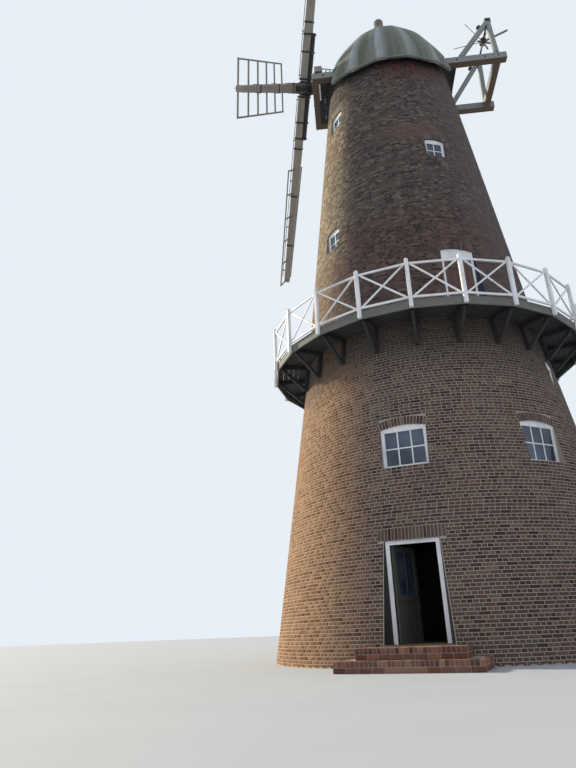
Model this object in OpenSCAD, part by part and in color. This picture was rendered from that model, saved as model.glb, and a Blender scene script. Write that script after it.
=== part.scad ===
// Brick tower windmill with a boarded stage, a gored dome cap, four lattice sails and a fantail.
// Millimetres, +Z up, origin on the ground under the middle of the tower, ground door towards -Y.

/* [Tower] */
// Outer radius of the tower at the ground
base_r = 4590; // [4300:10:5000]
// Outer radius of the tower where the stage meets it
waist_r = 3450; // [3300:10:3600]
// Outer radius of the tower at its top
top_r = 2130; // [2050:10:2200]
// Height of the brickwork
tower_h = 18500; // [18300:50:18700]
// Thickness of the wall at the ground
wall_foot_t = 600; // [500:10:700]
// Thickness of the wall at its top
wall_top_t = 380; // [330:10:430]
// Height of the ground floor above the lowest ground
ground_z = 420; // [300:10:500]
// Level of the first floor
first_z = 3250; // [3150:10:3350]
// Level of the second floor
second_z = 5500; // [5400:10:5600]
// Level of the floor above the stage
fourth_z = 10375; // [10300:5:10500]
// Level of the fifth floor
fifth_z = 12775; // [12650:5:12850]
// Level of the top floor
sixth_z = 15400; // [15270:5:15450]
// Thickness of each upper floor
floor_t = 220; // [160:10:240]
// Gap left where two fixed pieces meet
fit_gap = 0.2; // [0.2:0.05:0.4]

/* [Windows] */
// Width of the first-floor windows
wide_w = 1050; // [900:10:1150]
// Height of the first-floor windows
wide_h = 1000; // [850:10:1100]
// Width of the windows higher up
small_w = 620; // [520:10:700]
// Height of the windows higher up
small_h = 720; // [600:10:800]
// Height of a window sill above its floor
sill_h = 800; // [700:10:900]
// Rise of the arch over a window or an upper door
arch_rise = 70; // [50:5:90]
// Width of the timber of a window frame
sash_w = 60; // [45:5:75]
// Depth of a window frame from front to back
sash_d = 80; // [60:5:100]
// Depth of a frame behind the brick face, at its head
frame_inset = 50; // [30:5:80]
// Thickness of the glass
glass_t = 6; // [4:1:10]

/* [Stage doors] */
// Width of an upper door with its frame
stage_door_w = 900; // [800:10:960]
// Height of an upper door with its frame
stage_door_h = 2150; // [2000:10:2200]
// Height of the solid board over an upper door
head_board_h = 330; // [200:10:380]
// Thickness of an upper door
stage_leaf_t = 50; // [40:5:60]
// Splay of the brick beside an upper door, in degrees
stage_splay = 33; // [15:1:36]
// Drop of the splayed part of the reveal below the springing of the arch
reveal_drop = 12; // [10:1:16]

/* [Ground door] */
// Width of the ground door frame
door_w = 1150; // [1050:10:1200]
// Height of the ground door frame
door_h = 2020; // [1950:10:2060]
// Distance of the door frame behind the line of the window frames
door_inset = 30; // [20:5:40]
// Width of the timber of the door frame
jamb_w = 70; // [55:5:80]
// Depth of the door frame
jamb_d = 100; // [85:5:120]
// Width of the stop strip that the door shuts against
stop_w = 15; // [10:1:20]
// Thickness of the door leaf
leaf_t = 45; // [38:1:50]
// Width of the stiles of the door leaf
stile_w = 110; // [90:5:130]
// Height of the solid lower part of the door leaf
lower_panel_h = 820; // [700:10:900]
// Thickness of the lower panel
panel_t = 20; // [15:1:25]
// How far the door stands open, in degrees
door_open = 75; // [0:5:90]
// Splay of the brick beside the ground door, in degrees
door_splay = 20; // [8:1:24]
// Gap round the door leaf
leaf_gap = 6; // [5:1:8]
// Radius of the hinge pins
pin_r = 7; // [5:0.5:8]
// Radius of the hinge eyes on the leaf
eye_r = 15; // [12:1:18]
// Height of a hinge eye
eye_h = 90; // [70:5:110]
// Height of the lowest hinge eye above the foot of the leaf
hinge_inset = 170; // [140:10:200]
// Height of the door knobs above the foot of the leaf
knob_z = 980; // [900:10:1100]

/* [Entrance steps] */
// Width of the upper step
step_w = 2000; // [1800:50:2400]
// Depth of the upper step from the foot of the wall
step_d = 850; // [700:50:1000]
// Tread of the lower step
tread = 330; // [280:10:360]
// Height of the lower step
riser = 200; // [150:10:220]
// Drop from the threshold to the upper step
threshold_drop = 20; // [10:5:30]

/* [Stage] */
// Level of the stage deck
stage_z = 7900; // [7800:10:8000]
// Width of the stage from the wall to its corners
stage_w = 940; // [850:10:1050]
// Number of sides of the stage
bays = 22; // [20:1:24]
// Direction of one corner of the stage, in degrees
first_corner = -32.6; // [-36:0.1:-28]
// Thickness of the deck boards
deck_t = 50; // [40:5:60]
// Height of the fascia board
fascia_h = 220; // [190:10:240]
// Thickness of the fascia board
fascia_t = 40; // [30:5:50]
// Width of a bracket
bracket_w = 90; // [75:5:110]
// Depth of the bearer under the deck
bearer_h = 120; // [100:5:130]
// Thickness of the strut and wall post of a bracket
strut_t = 95; // [80:5:110]
// How far a bracket reaches down the wall below the deck boards
bracket_drop = 800; // [650:10:900]

/* [Railing] */
// Height of a post above the bottom of the fascia
post_h = 1350; // [1250:10:1400]
// Width of a post
post_w = 95; // [80:5:110]
// Thickness of the rails and braces
rail_t = 40; // [30:5:45]
// Height of the top rail
rail_h = 55; // [45:5:70]
// Width of the crossed braces
brace_w = 42; // [35:1:50]
// Distance from the top of a post down to the top rail
rail_drop = 130; // [100:5:150]

/* [Cap] */
// Direction in which the cap faces, in degrees from the -X side
cap_yaw = 17; // [0:1:45]
// Radius of the dome at its rim
dome_r = 2530; // [2480:10:2580]
// Drop from the tower top to the rim of the dome
rim_drop = 650; // [600:10:700]
// Height of the dome
dome_h = 4140; // [4050:10:4250]
// Number of gores in the dome
gores = 16; // [14:1:18]
// Thickness of the boarding of the dome
dome_t = 70; // [50:5:80]
// Width of the openings for the sheers, at the front and rear of the dome
mouth_w = 2880; // [2820:10:2940]
// Length of the level part of the dome's lower edge, on each side
skirt_l = 2560; // [2300:20:2700]
// Slope of the dome's lower edge beside its level part, in degrees
skirt_slope = 21; // [0:1:25]
// Radius of the flat crown under the finial
crown_r = 240; // [220:5:260]
// Radius of the finial
finial_r = 180; // [160:5:190]
// Height of the finial
finial_h = 720; // [650:10:780]
// Height of the curb on the tower top
curb_h = 60; // [50:5:70]
// Number of cogs round the curb
cogs = 96; // [72:4:112]
// Reach of a cog out of the curb
cog_l = 85; // [60:5:110]
// Gap between the cogs and the dome
cog_gap = 14; // [10:1:20]
// Gap between the curb and the pads that the cap slides on
pad_gap = 0.4; // [0.3:0.1:0.8]
// Number of sliding pads
pads = 12; // [10:1:14]
// Thickness of the ring under the sheers
ring_h = 80; // [70:5:90]

/* [Sheers] */
// Rise from the tower top to the underside of the sheers
sheer_rise = 230; // [220:5:260]
// Distance from the middle of the cap to the middle of each sheer
sheer_y = 1077; // [1050:5:1120]
// Width of a sheer
sheer_w = 250; // [220:5:280]
// Height of a sheer
sheer_h = 270; // [250:5:290]
// Reach of the sheers in front of the tower axis
sheer_front = 2690; // [2650:10:2720]
// Reach of the sheers behind the tower axis
sheer_rear = 4030; // [3980:10:4100]
// Depth of the weather beam from front to back
weather_d = 270; // [240:5:280]
// Height of the weather beam
weather_h = 260; // [220:5:270]
// Distance of the middle of the tail tie behind the tower axis
tail_tie_x = 3740; // [3700:10:3780]
// Width of the beams that tie the sheers together
tie_w = 220; // [180:5:240]

/* [Windshaft and sails] */
// Distance of the middle of the sails in front of the tower axis
hub_front = 3040; // [3030:5:3080]
// Rise from the tower top to the middle of the sails
hub_rise = 1170; // [1160:5:1200]
// Tilt of the windshaft above the level, in degrees
shaft_tilt = 16; // [14:0.5:17]
// Radius of the windshaft
shaft_r = 205; // [180:5:215]
// Length of the windshaft behind the middle of the sails
shaft_l = 3900; // [3850:10:3950]
// Radius of the tail journal of the windshaft
tail_r = 90; // [70:5:100]
// Running gap round a journal
run_gap = 0.4; // [0.3:0.1:0.8]
// Radius of the boss of the iron cross
boss_r = 240; // [220:5:260]
// Length of the boss of the iron cross
boss_l = 480; // [440:10:500]
// Reach of the boss in front of the middle of the whips
boss_front = 160; // [150:5:180]
// Turn of the sails from upright, in degrees
sail_park = 47.5; // [0:0.5:90]
// Length of a sail from the middle to the tip
sail_r = 7560; // [7400:10:7700]
// Distance from the middle to the first bar of a sail
heel_r = 2900; // [2700:10:3100]
// Reach of the bars on each side of the whip
bar_l = 744; // [650:2:800]
// Number of bays in the lattice of a sail
sail_bays = 5; // [4:1:7]
// Twist of the first bar out of the plane of the sails, in degrees
heel_twist = 7; // [3:0.5:10]
// Twist of the last bar out of the plane of the sails, in degrees
tip_twist = 2; // [0:0.5:3]
// Width of a whip at the middle
whip_w = 330; // [300:5:350]
// Width of a whip at the tip
whip_tip_w = 165; // [150:5:180]
// Depth of a whip at the middle
whip_d = 275; // [250:5:290]
// Depth of a whip at the tip
whip_tip_d = 200; // [180:5:220]
// Width of a sail bar
bar_w = 55; // [45:5:65]
// Depth of a sail bar
bar_d = 40; // [30:5:50]
// Distance of the sail bars in front of the middle of the whip
bar_rise = 60; // [50:5:75]
// Width and depth of the hemlaths along the edges
hem_w = 45; // [35:5:55]
// Reach of the arms of the iron cross
arm_l = 1820; // [1780:10:1860]
// Width of an arm of the iron cross
arm_w = 230; // [200:5:250]
// Depth of an arm of the iron cross
arm_d = 120; // [100:5:140]
// Length of a strap along the whip
strap_w = 60; // [45:5:75]
// Thickness of a strap
strap_t = 14; // [10:1:20]
// Distance of the middle strap from the end of the arm
strap_back = 620; // [580:10:660]
// Distance of the outer strap from the end of the arm
strap_inset = 50; // [46:2:60]
// Distance of the first strap beyond the arm from its end
strap_ahead = 330; // [300:10:360]
// Radius of the shutter rod in front of each whip
rod_r = 12; // [10:1:16]
// Distance of the shutter rods in front of the whips
rod_rise = 75; // [60:5:90]

/* [Fantail] */
// Distance of the fan axle behind the tower axis
fan_x = 3750; // [3730:5:3780]
// Rise from the tower top to the fan axle
fan_rise = 2450; // [2350:10:2550]
// Distance of the middle of each fan frame from the middle of the cap, at the axle
fan_y = 830; // [780:10:860]
// Distance of the front leg's foot ahead of the axle
fan_leg_x = 1400; // [1300:10:1450]
// Thickness of the legs of the fan frame
leg_t = 150; // [130:5:170]
// Radius of the fan axle
axle_r = 35; // [30:1:45]
// Radius of the fan hub
fan_hub_r = 110; // [90:5:130]
// Length of the fan hub
fan_hub_l = 260; // [220:10:300]
// Reach of the fan arms that are still whole
fan_r = 1160; // [1050:10:1200]
// Height of the spike on each fan frame above the axle
spike_h = 230; // [190:10:280]

/* [Hidden] */
$fn = 96;
fine = 240;

brick_color = [0.42, 0.28, 0.24];
white_paint = [0.86, 0.86, 0.84];
iron_color = [0.16, 0.15, 0.15];
timber_color = [0.55, 0.50, 0.42];
grey_paint = [0.55, 0.58, 0.56];
far = 20000;
over = 1;

// Levels and reaches that follow from the driving sizes
stage_r = waist_r + stage_w;
rim_z = tower_h - rim_drop;
sheer_z = tower_h + sheer_rise;
hub_z = tower_h + hub_rise;
fan_z = tower_h + fan_rise;
kink_z = stage_z - fascia_h;
rail_top_z = kink_z + post_h - rail_drop;
curb_z = tower_h + curb_h;
ring_z = sheer_z - ring_h;
sheer_top_z = sheer_z + sheer_h;
upper_levels = [first_z, second_z, stage_z, fourth_z, fifth_z, sixth_z];

// Outline of the battered wall
function between(a, b, t) = a + (b - a) * t;
function outer_r(z) = z < kink_z ? between(base_r, waist_r, z / kink_z)
    : between(waist_r, top_r, (z - kink_z) / (tower_h - kink_z));
function inner_r(z) = outer_r(z) - between(wall_foot_t, wall_top_t, z / tower_h);

// Windows as [direction, floor level, width, height]; the far side repeats the near side
near_windows = [
    [-90, first_z, wide_w, wide_h], [-42, first_z, wide_w, wide_h], [-16, second_z, small_w, small_h],
    [-126.4, fourth_z, small_w, small_h], [-54.3, fifth_z, small_w, small_h],
    [-130.4, sixth_z, small_w, small_h]];
windows = concat(near_windows, [for (w = near_windows) [w[0] + 180, w[1], w[2], w[3]]]);
stage_doors = [-57, 123];
function head_face(z, h) = outer_r(z + h) - frame_inset;
joint_turn = fit_gap / top_r * 180 / PI;

// Round walls are laid up in stretches, as [name, first direction, last direction]
wall_stretches = [
    ["front_right_wall", -90, -45], ["right_wall", -45, 10], ["back_right_wall", 10, 45],
    ["back_wall", 45, 108], ["back_left_wall", 108, 135], ["left_wall", 135, 180],
    ["front_left_wall", 180, 225], ["door_left_wall", 225, 270]];
over_door_half = 10.5;
door_top_z = ground_z + door_h;
door_face = outer_r(door_top_z) - frame_inset - door_inset;
cut_in = 1.6 * wall_foot_t;
cut_out = 2.5 * wall_foot_t;

module toward(direction) {
    rotate([0, 0, direction]) children();
}

// An upright outline, x across and y up, pushed outwards along +X from the given radius
module upright(radius, depth) {
    translate([radius, 0, 0]) rotate([90, 0, 90]) linear_extrude(depth) children();
}

module arched(w, h, rise) {
    arc_r = (w * w / 4 + rise * rise) / (2 * rise);
    translate([-w / 2, 0]) square([w, h - rise]);
    intersection() {
        translate([0, h - arc_r]) circle(r = arc_r);
        translate([-w / 2, h - rise - over]) square([w, rise + over]);
    }
}

// Plan of an opening that widens outwards from a frame
module splayed_plan(w, face, splay) {
    spread = cut_out * tan(splay);
    polygon([[face - cut_in, -w / 2], [face, -w / 2], [face + cut_out, -w / 2 - spread],
        [face + cut_out, w / 2 + spread], [face, w / 2], [face - cut_in, w / 2]]);
}

module window_opening(w) {
    toward(w[0]) translate([0, 0, w[1] + sill_h - fit_gap])
        upright(head_face(w[1] + sill_h, w[3]) - cut_in, cut_in + cut_out)
            arched(w[2] + 2 * fit_gap, w[3] + 2 * fit_gap, arch_rise);
}

// The reveal widens up to just under the springing of the arch, and the arch keeps the door's width
module stage_door_opening(direction) {
    face = head_face(stage_z, stage_door_h);
    half = stage_door_w / 2 + cut_out;
    free_w = stage_door_w + 2 * fit_gap;
    toward(direction) translate([0, 0, stage_z]) intersection() {
        linear_extrude(stage_door_h + over) splayed_plan(free_w, face, stage_splay);
        upright(face - cut_in - over, cut_in + cut_out) {
            arched(free_w, stage_door_h + fit_gap, arch_rise);
            translate([-half, 0]) square([2 * half, stage_door_h - arch_rise - reveal_drop]);
        }
    }
}

// The bay of the ground door, from the ground up to its head
module door_bay(top, bottom, width) {
    toward(-90) translate([0, 0, bottom]) linear_extrude(top - bottom)
        splayed_plan(width, door_face, door_splay);
}

module wall_profile() {
    polygon([[inner_r(0), 0], [outer_r(0), 0], [outer_r(kink_z), kink_z], [top_r, tower_h],
        [inner_r(tower_h), tower_h], [inner_r(kink_z), kink_z]]);
}

module wall_sector(first, last) {
    toward(first) rotate_extrude(angle = last - first - joint_turn, $fn = fine) wall_profile();
}

// The sector over the ground door, which is a stretch of its own
module over_door_sector() {
    translate([0, 0, door_top_z]) toward(-90 - over_door_half)
        rotate_extrude(angle = 2 * over_door_half, $fn = fine) square([base_r + wall_foot_t, tower_h]);
}

function is_between(a, first, last) = let (b = (a - first + 720) % 360) b > -12 && b < last - first + 12
    || b > 348;

module openings_in(first, last, skip) {
    for (w = windows) if (w[0] != skip && is_between(w[0], first, last)) window_opening(w);
    for (d = stage_doors) if (is_between(d, first, last)) stage_door_opening(d);
}

module wall_stretch(index) {
    stretch = wall_stretches[index];
    beside_door = stretch[1] == -90 || stretch[2] == 270;
    color(brick_color) difference() {
        wall_sector(stretch[1], stretch[2]);
        openings_in(stretch[1], stretch[2], beside_door ? -90 : undef);
        if (beside_door) {
            door_bay(door_top_z, -over, door_w + 2 * fit_gap);
            over_door_sector();
        }
    }
}

module over_door_wall() {
    color(brick_color) difference() {
        intersection() {
            wall_sector(-90 - over_door_half + joint_turn, -90 + over_door_half);
            translate([-far / 2, -far / 2, door_top_z + fit_gap]) cube([far, far, far]);
        }
        window_opening(windows[0]);
    }
}

// A round plate between two levels, its edge leaning with the given radii
module plate(low, high, low_r, high_r) {
    rotate_extrude($fn = fine) polygon([[0, low], [low_r, low], [high_r, high], [0, high]]);
}

module ground_floor() {
    color([0.5, 0.42, 0.36]) union() {
        plate(0, ground_z, inner_r(0) - fit_gap, inner_r(ground_z) - fit_gap);
        intersection() {
            plate(0, ground_z, base_r, outer_r(ground_z));
            door_bay(ground_z, 0, door_w);
        }
    }
}

module floor_disc(z) {
    plate(z - floor_t, z, inner_r(z - floor_t) - fit_gap, inner_r(z) - fit_gap);
}

module upper_floors() {
    color(timber_color) for (z = upper_levels) floor_disc(z);
}

module entrance_steps() {
    color([0.5, 0.3, 0.22]) difference() {
        union() {
            translate([-step_w / 2, -base_r - step_d, 0])
                cube([step_w, step_d + wall_foot_t, ground_z - threshold_drop]);
            translate([-step_w / 2 - tread, -base_r - step_d - tread, 0])
                cube([step_w + 2 * tread, step_d + tread + wall_foot_t, riser]);
        }
        plate(-over, second_z, outer_r(-over) + fit_gap, outer_r(second_z) + fit_gap);
    }
}

module window_frame(w) {
    face = head_face(w[1] + sill_h, w[3]);
    toward(w[0]) translate([0, 0, w[1] + sill_h]) upright(face - sash_d, sash_d) difference() {
        arched(w[2], w[3], arch_rise);
        translate([0, sash_w]) arched(w[2] - 2 * sash_w, w[3] - 2 * sash_w, arch_rise);
    }
}

module stage_door_frame(direction) {
    face = head_face(stage_z, stage_door_h);
    toward(direction) translate([0, 0, stage_z + fit_gap]) upright(face - sash_d, sash_d) difference() {
        arched(stage_door_w, stage_door_h - fit_gap, arch_rise);
        translate([-stage_door_w / 2 + sash_w, -over])
            square([stage_door_w - 2 * sash_w, stage_door_h - head_board_h + over]);
    }
}

module window_frames() {
    color(white_paint) {
        for (w = windows) window_frame(w);
        for (d = stage_doors) stage_door_frame(d);
    }
}

module window_panes() {
    rebate = sash_w + fit_gap;
    color([0.5, 0.6, 0.68]) for (w = windows) {
        face = head_face(w[1] + sill_h, w[3]);
        toward(w[0]) translate([0, 0, w[1] + sill_h + rebate])
            upright(face - sash_d / 2 - glass_t / 2, glass_t)
                arched(w[2] - 2 * rebate, w[3] - 2 * rebate, arch_rise);
    }
}

module stage_door_leaves() {
    face = head_face(stage_z, stage_door_h);
    leaf_w = stage_door_w - 2 * sash_w - 2 * fit_gap;
    color([0.40, 0.20, 0.17]) for (d = stage_doors) toward(d)
        translate([face - sash_d / 2 - stage_leaf_t / 2, -leaf_w / 2, stage_z + fit_gap])
            cube([stage_leaf_t, leaf_w, stage_door_h - head_board_h - fit_gap]);
}

module door_frame() {
    opening_w = door_w - 2 * jamb_w;
    stop_d = jamb_d - leaf_t - leaf_gap;
    frame_h = door_h - fit_gap;
    color(white_paint) toward(-90) translate([0, 0, ground_z + fit_gap]) {
        upright(door_face - jamb_d, jamb_d - stop_d) difference() {
            translate([-door_w / 2, 0]) square([door_w, frame_h]);
            translate([-opening_w / 2, -over]) square([opening_w, door_h - jamb_w + over]);
        }
        upright(door_face - stop_d, stop_d) difference() {
            translate([-door_w / 2, 0]) square([door_w, frame_h]);
            translate([-opening_w / 2 + stop_w, -over])
                square([opening_w - 2 * stop_w, door_h - jamb_w - stop_w + over]);
        }
    }
}

// The hinge pin stands just inside the frame, at the left of the doorway as seen from outside
hinge_in = eye_r + 3;
hinge_x = -door_w / 2 + jamb_w - over;
hinge_y = -door_face + jamb_d + hinge_in;
leaf_w = door_w - 2 * jamb_w - 2 * leaf_gap;
leaf_h = door_h - jamb_w - 2 * leaf_gap;
leaf_x = leaf_gap + over;

module on_door_hinge() {
    translate([hinge_x, hinge_y, ground_z + leaf_gap]) rotate([0, 0, door_open])
        translate([leaf_x, -hinge_in - leaf_t, 0]) children();
}

module door_leaf() {
    glazed_z = lower_panel_h + stile_w;
    panel_w = leaf_w - 2 * stile_w;
    color(grey_paint) on_door_hinge() {
        difference() {
            cube([leaf_w, leaf_t, leaf_h]);
            translate([stile_w, -over, glazed_z])
                cube([panel_w, leaf_t + 2 * over, leaf_h - glazed_z - stile_w]);
            translate([stile_w, -over, 2 * stile_w])
                cube([panel_w, leaf_t / 2 - panel_t / 2 + over, lower_panel_h - 2 * stile_w]);
            translate([stile_w, leaf_t / 2 + panel_t / 2, 2 * stile_w])
                cube([panel_w, leaf_t / 2 + over, lower_panel_h - 2 * stile_w]);
        }
    }
}

module door_pane() {
    glazed_z = lower_panel_h + stile_w;
    rebate = stile_w + fit_gap;
    color([0.5, 0.6, 0.68]) on_door_hinge()
        translate([rebate, leaf_t / 2 - glass_t / 2, glazed_z + fit_gap])
            cube([leaf_w - 2 * rebate, glass_t, leaf_h - glazed_z - rebate - fit_gap]);
}

hinge_heights = [hinge_inset, leaf_h / 2, leaf_h - hinge_inset];
plate_t = 5;

module knob() {
    rotate_extrude() polygon([[0, 0], [24, 0], [24, 6], [9, 10], [9, 30], [24, 36], [24, 50], [0, 56]]);
}

// Knobs on both faces, and the eyes that hang on the pins, each with its plate on the leaf
module door_ironwork() {
    face_y = [-fit_gap, leaf_t + fit_gap];
    color(iron_color) {
        on_door_hinge() for (side = [0, 1]) translate([leaf_w - stile_w / 2, face_y[side], knob_z])
            mirror([0, 1 - side, 0]) rotate([-90, 0, 0]) knob();
        translate([hinge_x, hinge_y, ground_z + leaf_gap]) rotate([0, 0, door_open])
            for (z = hinge_heights) difference() {
                union() {
                    translate([0, 0, z]) cylinder(h = eye_h, r = eye_r);
                    translate([0, -hinge_in + fit_gap, z]) cube([leaf_x + stile_w - 20, plate_t, eye_h]);
                }
                translate([0, 0, z - over]) cylinder(h = eye_h + 2 * over, r = pin_r + run_gap);
            }
    }
}

// Pins on the inner face of the frame, each on a bracket that carries the eye
module door_pintles() {
    bracket_t = 12;
    plate_l = jamb_w * 0.8;
    frame_y = -hinge_in + fit_gap;
    color(iron_color) translate([hinge_x, hinge_y, ground_z + leaf_gap]) for (z = hinge_heights) {
        translate([0, 0, z - bracket_t - run_gap]) cylinder(h = eye_h + bracket_t, r = pin_r);
        translate([-plate_l, frame_y, z - bracket_t - run_gap]) cube([plate_l, -frame_y, bracket_t]);
        translate([-plate_l, frame_y, z - over - run_gap]) cube([plate_l - eye_r - 3, plate_t, eye_h]);
    }
}

// Stage
step_angle = 360 / bays;
function corner(i, r) = [r * cos(first_corner - i * step_angle), r * sin(first_corner - i * step_angle)];
side_r = stage_r * cos(step_angle / 2);
post_in = 10;

module stage_outline(r) {
    polygon([for (i = [0:bays - 1]) corner(i, r)]);
}

module stage_deck() {
    low_z = stage_z - deck_t;
    color([0.30, 0.28, 0.26]) difference() {
        translate([0, 0, low_z]) linear_extrude(deck_t)
            stage_outline(stage_r - (fascia_t + fit_gap) / cos(step_angle / 2));
        plate(low_z - over, stage_z + over, outer_r(low_z - over) + fit_gap,
            outer_r(stage_z + over) + fit_gap);
    }
}

module stage_fascia() {
    board_l = 2 * stage_r * sin(step_angle / 2) - 2 * fascia_t * tan(step_angle / 2) - 2;
    color([0.45, 0.50, 0.46]) for (i = [0:bays - 1])
        toward(first_corner - (i + 0.5) * step_angle)
            translate([side_r - fascia_t, -board_l / 2, kink_z]) cube([fascia_t, board_l, fascia_h]);
}

// Side view of a bracket: bearer, wall post and strut round an open triangle
module bracket_outline() {
    top = stage_z - deck_t - fit_gap;
    foot = stage_z - bracket_drop;
    reach = side_r - fascia_t - fit_gap;
    bearer_z = top - bearer_h;
    slope = (bearer_z - foot) / (reach - outer_r(foot) - strut_t);
    difference() {
        polygon([[outer_r(top) + fit_gap, top], [reach, top], [reach, bearer_z - strut_t / 2],
            [outer_r(foot) + strut_t, foot], [outer_r(foot) + fit_gap, foot],
            [outer_r(kink_z) + fit_gap, kink_z]]);
        polygon([[outer_r(bearer_z) + strut_t, bearer_z], [outer_r(foot) + strut_t, foot + strut_t * 1.5],
            [reach - strut_t * 1.5 / slope - strut_t / 2, bearer_z]]);
    }
}

module stage_brackets() {
    color([0.20, 0.19, 0.18]) for (i = [0:bays - 1]) toward(first_corner - i * step_angle)
        rotate([90, 0, 0]) translate([0, 0, -bracket_w / 2]) linear_extrude(bracket_w) bracket_outline();
}

module post_block(i, top_extra) {
    toward(first_corner - i * step_angle)
        translate([stage_r - post_in - fit_gap, -post_w / 2 - fit_gap, kink_z - fit_gap])
            cube([post_w + 2 * fit_gap, post_w + 2 * fit_gap, post_h - post_w / 2 + top_extra]);
}

module stage_posts() {
    cap_z = kink_z + post_h - post_w / 2;
    color(white_paint) difference() {
        for (i = [0:bays - 1]) toward(first_corner - i * step_angle) {
            translate([stage_r - post_in, -post_w / 2, kink_z]) cube([post_w, post_w, cap_z - kink_z]);
            translate([stage_r - post_in + post_w / 2, 0, cap_z - over])
                cylinder(h = post_w / 2 + over, r1 = post_w * 0.49, r2 = post_w * 0.12);
        }
        translate([0, 0, kink_z - over]) linear_extrude(post_h + 2 * over)
            stage_outline(stage_r + fit_gap / cos(step_angle / 2));
    }
}

// One bay of railing: two rails and a pair of crossed braces in one flat panel
module panel_outline(l) {
    low = fascia_h + 20;
    high = post_h - rail_drop;
    drop = high - low - 2 * rail_h;
    lean = atan2(drop, l - 2 * post_w);
    translate([-l / 2, high - rail_h]) square([l, rail_h]);
    translate([-l / 2, low]) square([l, rail_h]);
    intersection() {
        translate([-l / 2, low]) square([l, high - low]);
        for (side = [-1, 1]) translate([0, (low + high) / 2]) rotate(side * lean)
            translate([-l, -brace_w / 2]) square([2 * l, brace_w]);
    }
}

module stage_panels() {
    post_mid_r = stage_r - post_in + post_w / 2;
    bay_l = 2 * post_mid_r * sin(step_angle / 2);
    color(white_paint) for (i = [0:bays - 1]) difference() {
        toward(first_corner - (i + 0.5) * step_angle)
            translate([0, 0, kink_z]) upright(post_mid_r * cos(step_angle / 2) - rail_t / 2, rail_t)
                panel_outline(bay_l);
        post_block(i, post_w);
        post_block(i + 1, post_w);
    }
}

// Curb and cap
// A ring on the brickwork, with cogs for the winding gear round its outside
module curb() {
    curb_u = (rim_drop + curb_h) / (dome_h - dome_t);
    tip_r = (dome_r * dome_reach(curb_u) - dome_t) * cos(180 / gores) - cog_gap;
    root_r = tip_r - cog_l;
    pitch = 360 / cogs;
    height = curb_h - fit_gap;
    cog_points = [[0, root_r], [0.54, root_r], [0.58, tip_r], [0.96, tip_r]];
    color(iron_color) translate([0, 0, tower_h + fit_gap]) difference() {
        linear_extrude(height) polygon([for (i = [0:cogs - 1]) for (c = cog_points)
            c[1] * [cos((i + c[0]) * pitch), sin((i + c[0]) * pitch)]]);
        translate([0, 0, -over]) cylinder(h = height + 2 * over, r = inner_r(tower_h), $fn = fine);
    }
}

module in_cap() {
    rotate([0, 0, cap_yaw]) children();
}

module cap_ring() {
    ring_r = top_r - 20;
    pad_l = 180;
    pad_w = 200;
    pad_z = curb_z + pad_gap;
    mid_r = (ring_r + inner_r(tower_h)) / 2;
    color(timber_color) in_cap() {
        difference() {
            translate([0, 0, ring_z]) cylinder(h = ring_h - fit_gap, r = ring_r, $fn = fine);
            translate([0, 0, ring_z - over])
                cylinder(h = ring_h + 2 * over, r = inner_r(tower_h), $fn = fine);
        }
        for (i = [0:pads - 1]) toward(i * 360 / pads) translate([mid_r - pad_l / 2, -pad_w / 2, pad_z])
            cube([pad_l, pad_w, ring_z - pad_z + over]);
    }
}

// Dome outline: steep at the rim, rounding over towards the crown
dome_levels = [0, 0.05, 0.11, 0.17, 0.23, 0.30, 0.37, 0.44, 0.51, 0.58, 0.65, 0.72, 0.78, 0.84, 0.89, 0.93];
function dome_reach(u) = pow(1 - pow(u, 1.68), 0.787);
crown_u = 0.965;
dome_outer = concat([for (u = dome_levels) [dome_r * dome_reach(u), rim_z + dome_h * u]],
    [[crown_r, rim_z + dome_h * crown_u]]);
dome_inner = concat([for (u = dome_levels)
    [dome_r * dome_reach(u) - dome_t, rim_z + dome_h * u - dome_t * u]],
    [[crown_r - dome_t, rim_z + dome_h * crown_u - dome_t]]);
crown_z = rim_z + dome_h * crown_u;

module gored_solid(outline) {
    rows = len(outline);
    points = [for (p = outline) for (g = [0:gores - 1])
        let (a = (g + 0.5) * 360 / gores) [p[0] * cos(a), p[0] * sin(a), p[1]]];
    sides = [for (r = [0:rows - 2]) for (g = [0:gores - 1])
        let (n = (g + 1) % gores) [r * gores + g, (r + 1) * gores + g, (r + 1) * gores + n, r * gores + n]];
    foot = [for (g = [0:gores - 1]) g];
    lid = [for (g = [gores - 1:-1:0]) (rows - 1) * gores + g];
    polyhedron(points, concat([foot, lid], sides));
}

// The opening over the sheers at one end of the dome, and the slope up to it
module dome_mouth() {
    reach = 2 * dome_r;
    translate([0, -mouth_w / 2, rim_z - over])
        cube([reach, mouth_w, sheer_top_z + fit_gap - rim_z + over]);
    translate([0, reach, 0]) rotate([90, 0, 0]) linear_extrude(2 * reach)
        polygon([[skirt_l / 2, rim_z - over], [reach, rim_z - over],
            [reach, rim_z + (reach - skirt_l / 2) * tan(skirt_slope)], [skirt_l / 2, rim_z]]);
}

module cap_dome() {
    shaft_hole_r = shaft_r + 60;
    hole_l = 0.55 * dome_r;
    color([0.50, 0.56, 0.54]) in_cap() difference() {
        gored_solid(dome_outer);
        gored_solid(concat([[dome_inner[0][0], rim_z - over]], dome_inner));
        for (a = [0, 180]) rotate([0, 0, a]) dome_mouth();
        on_shaft() translate([0, 0, -0.8 * (hub_front - dome_r) - hole_l])
            cylinder(h = hole_l, r = shaft_hole_r);
    }
}

module cap_finial() {
    color([0.66, 0.62, 0.54]) translate([0, 0, crown_z + fit_gap]) rotate_extrude()
        polygon(concat([[0, 0], [crown_r - 20, 0], [crown_r - 20, 60], [finial_r, 110],
            [finial_r, finial_h - finial_r * 0.6]],
            [for (a = [15:15:75]) [finial_r * cos(a), finial_h - finial_r * 0.6 * (1 - sin(a))]],
            [[0, finial_h]]));
}

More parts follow.
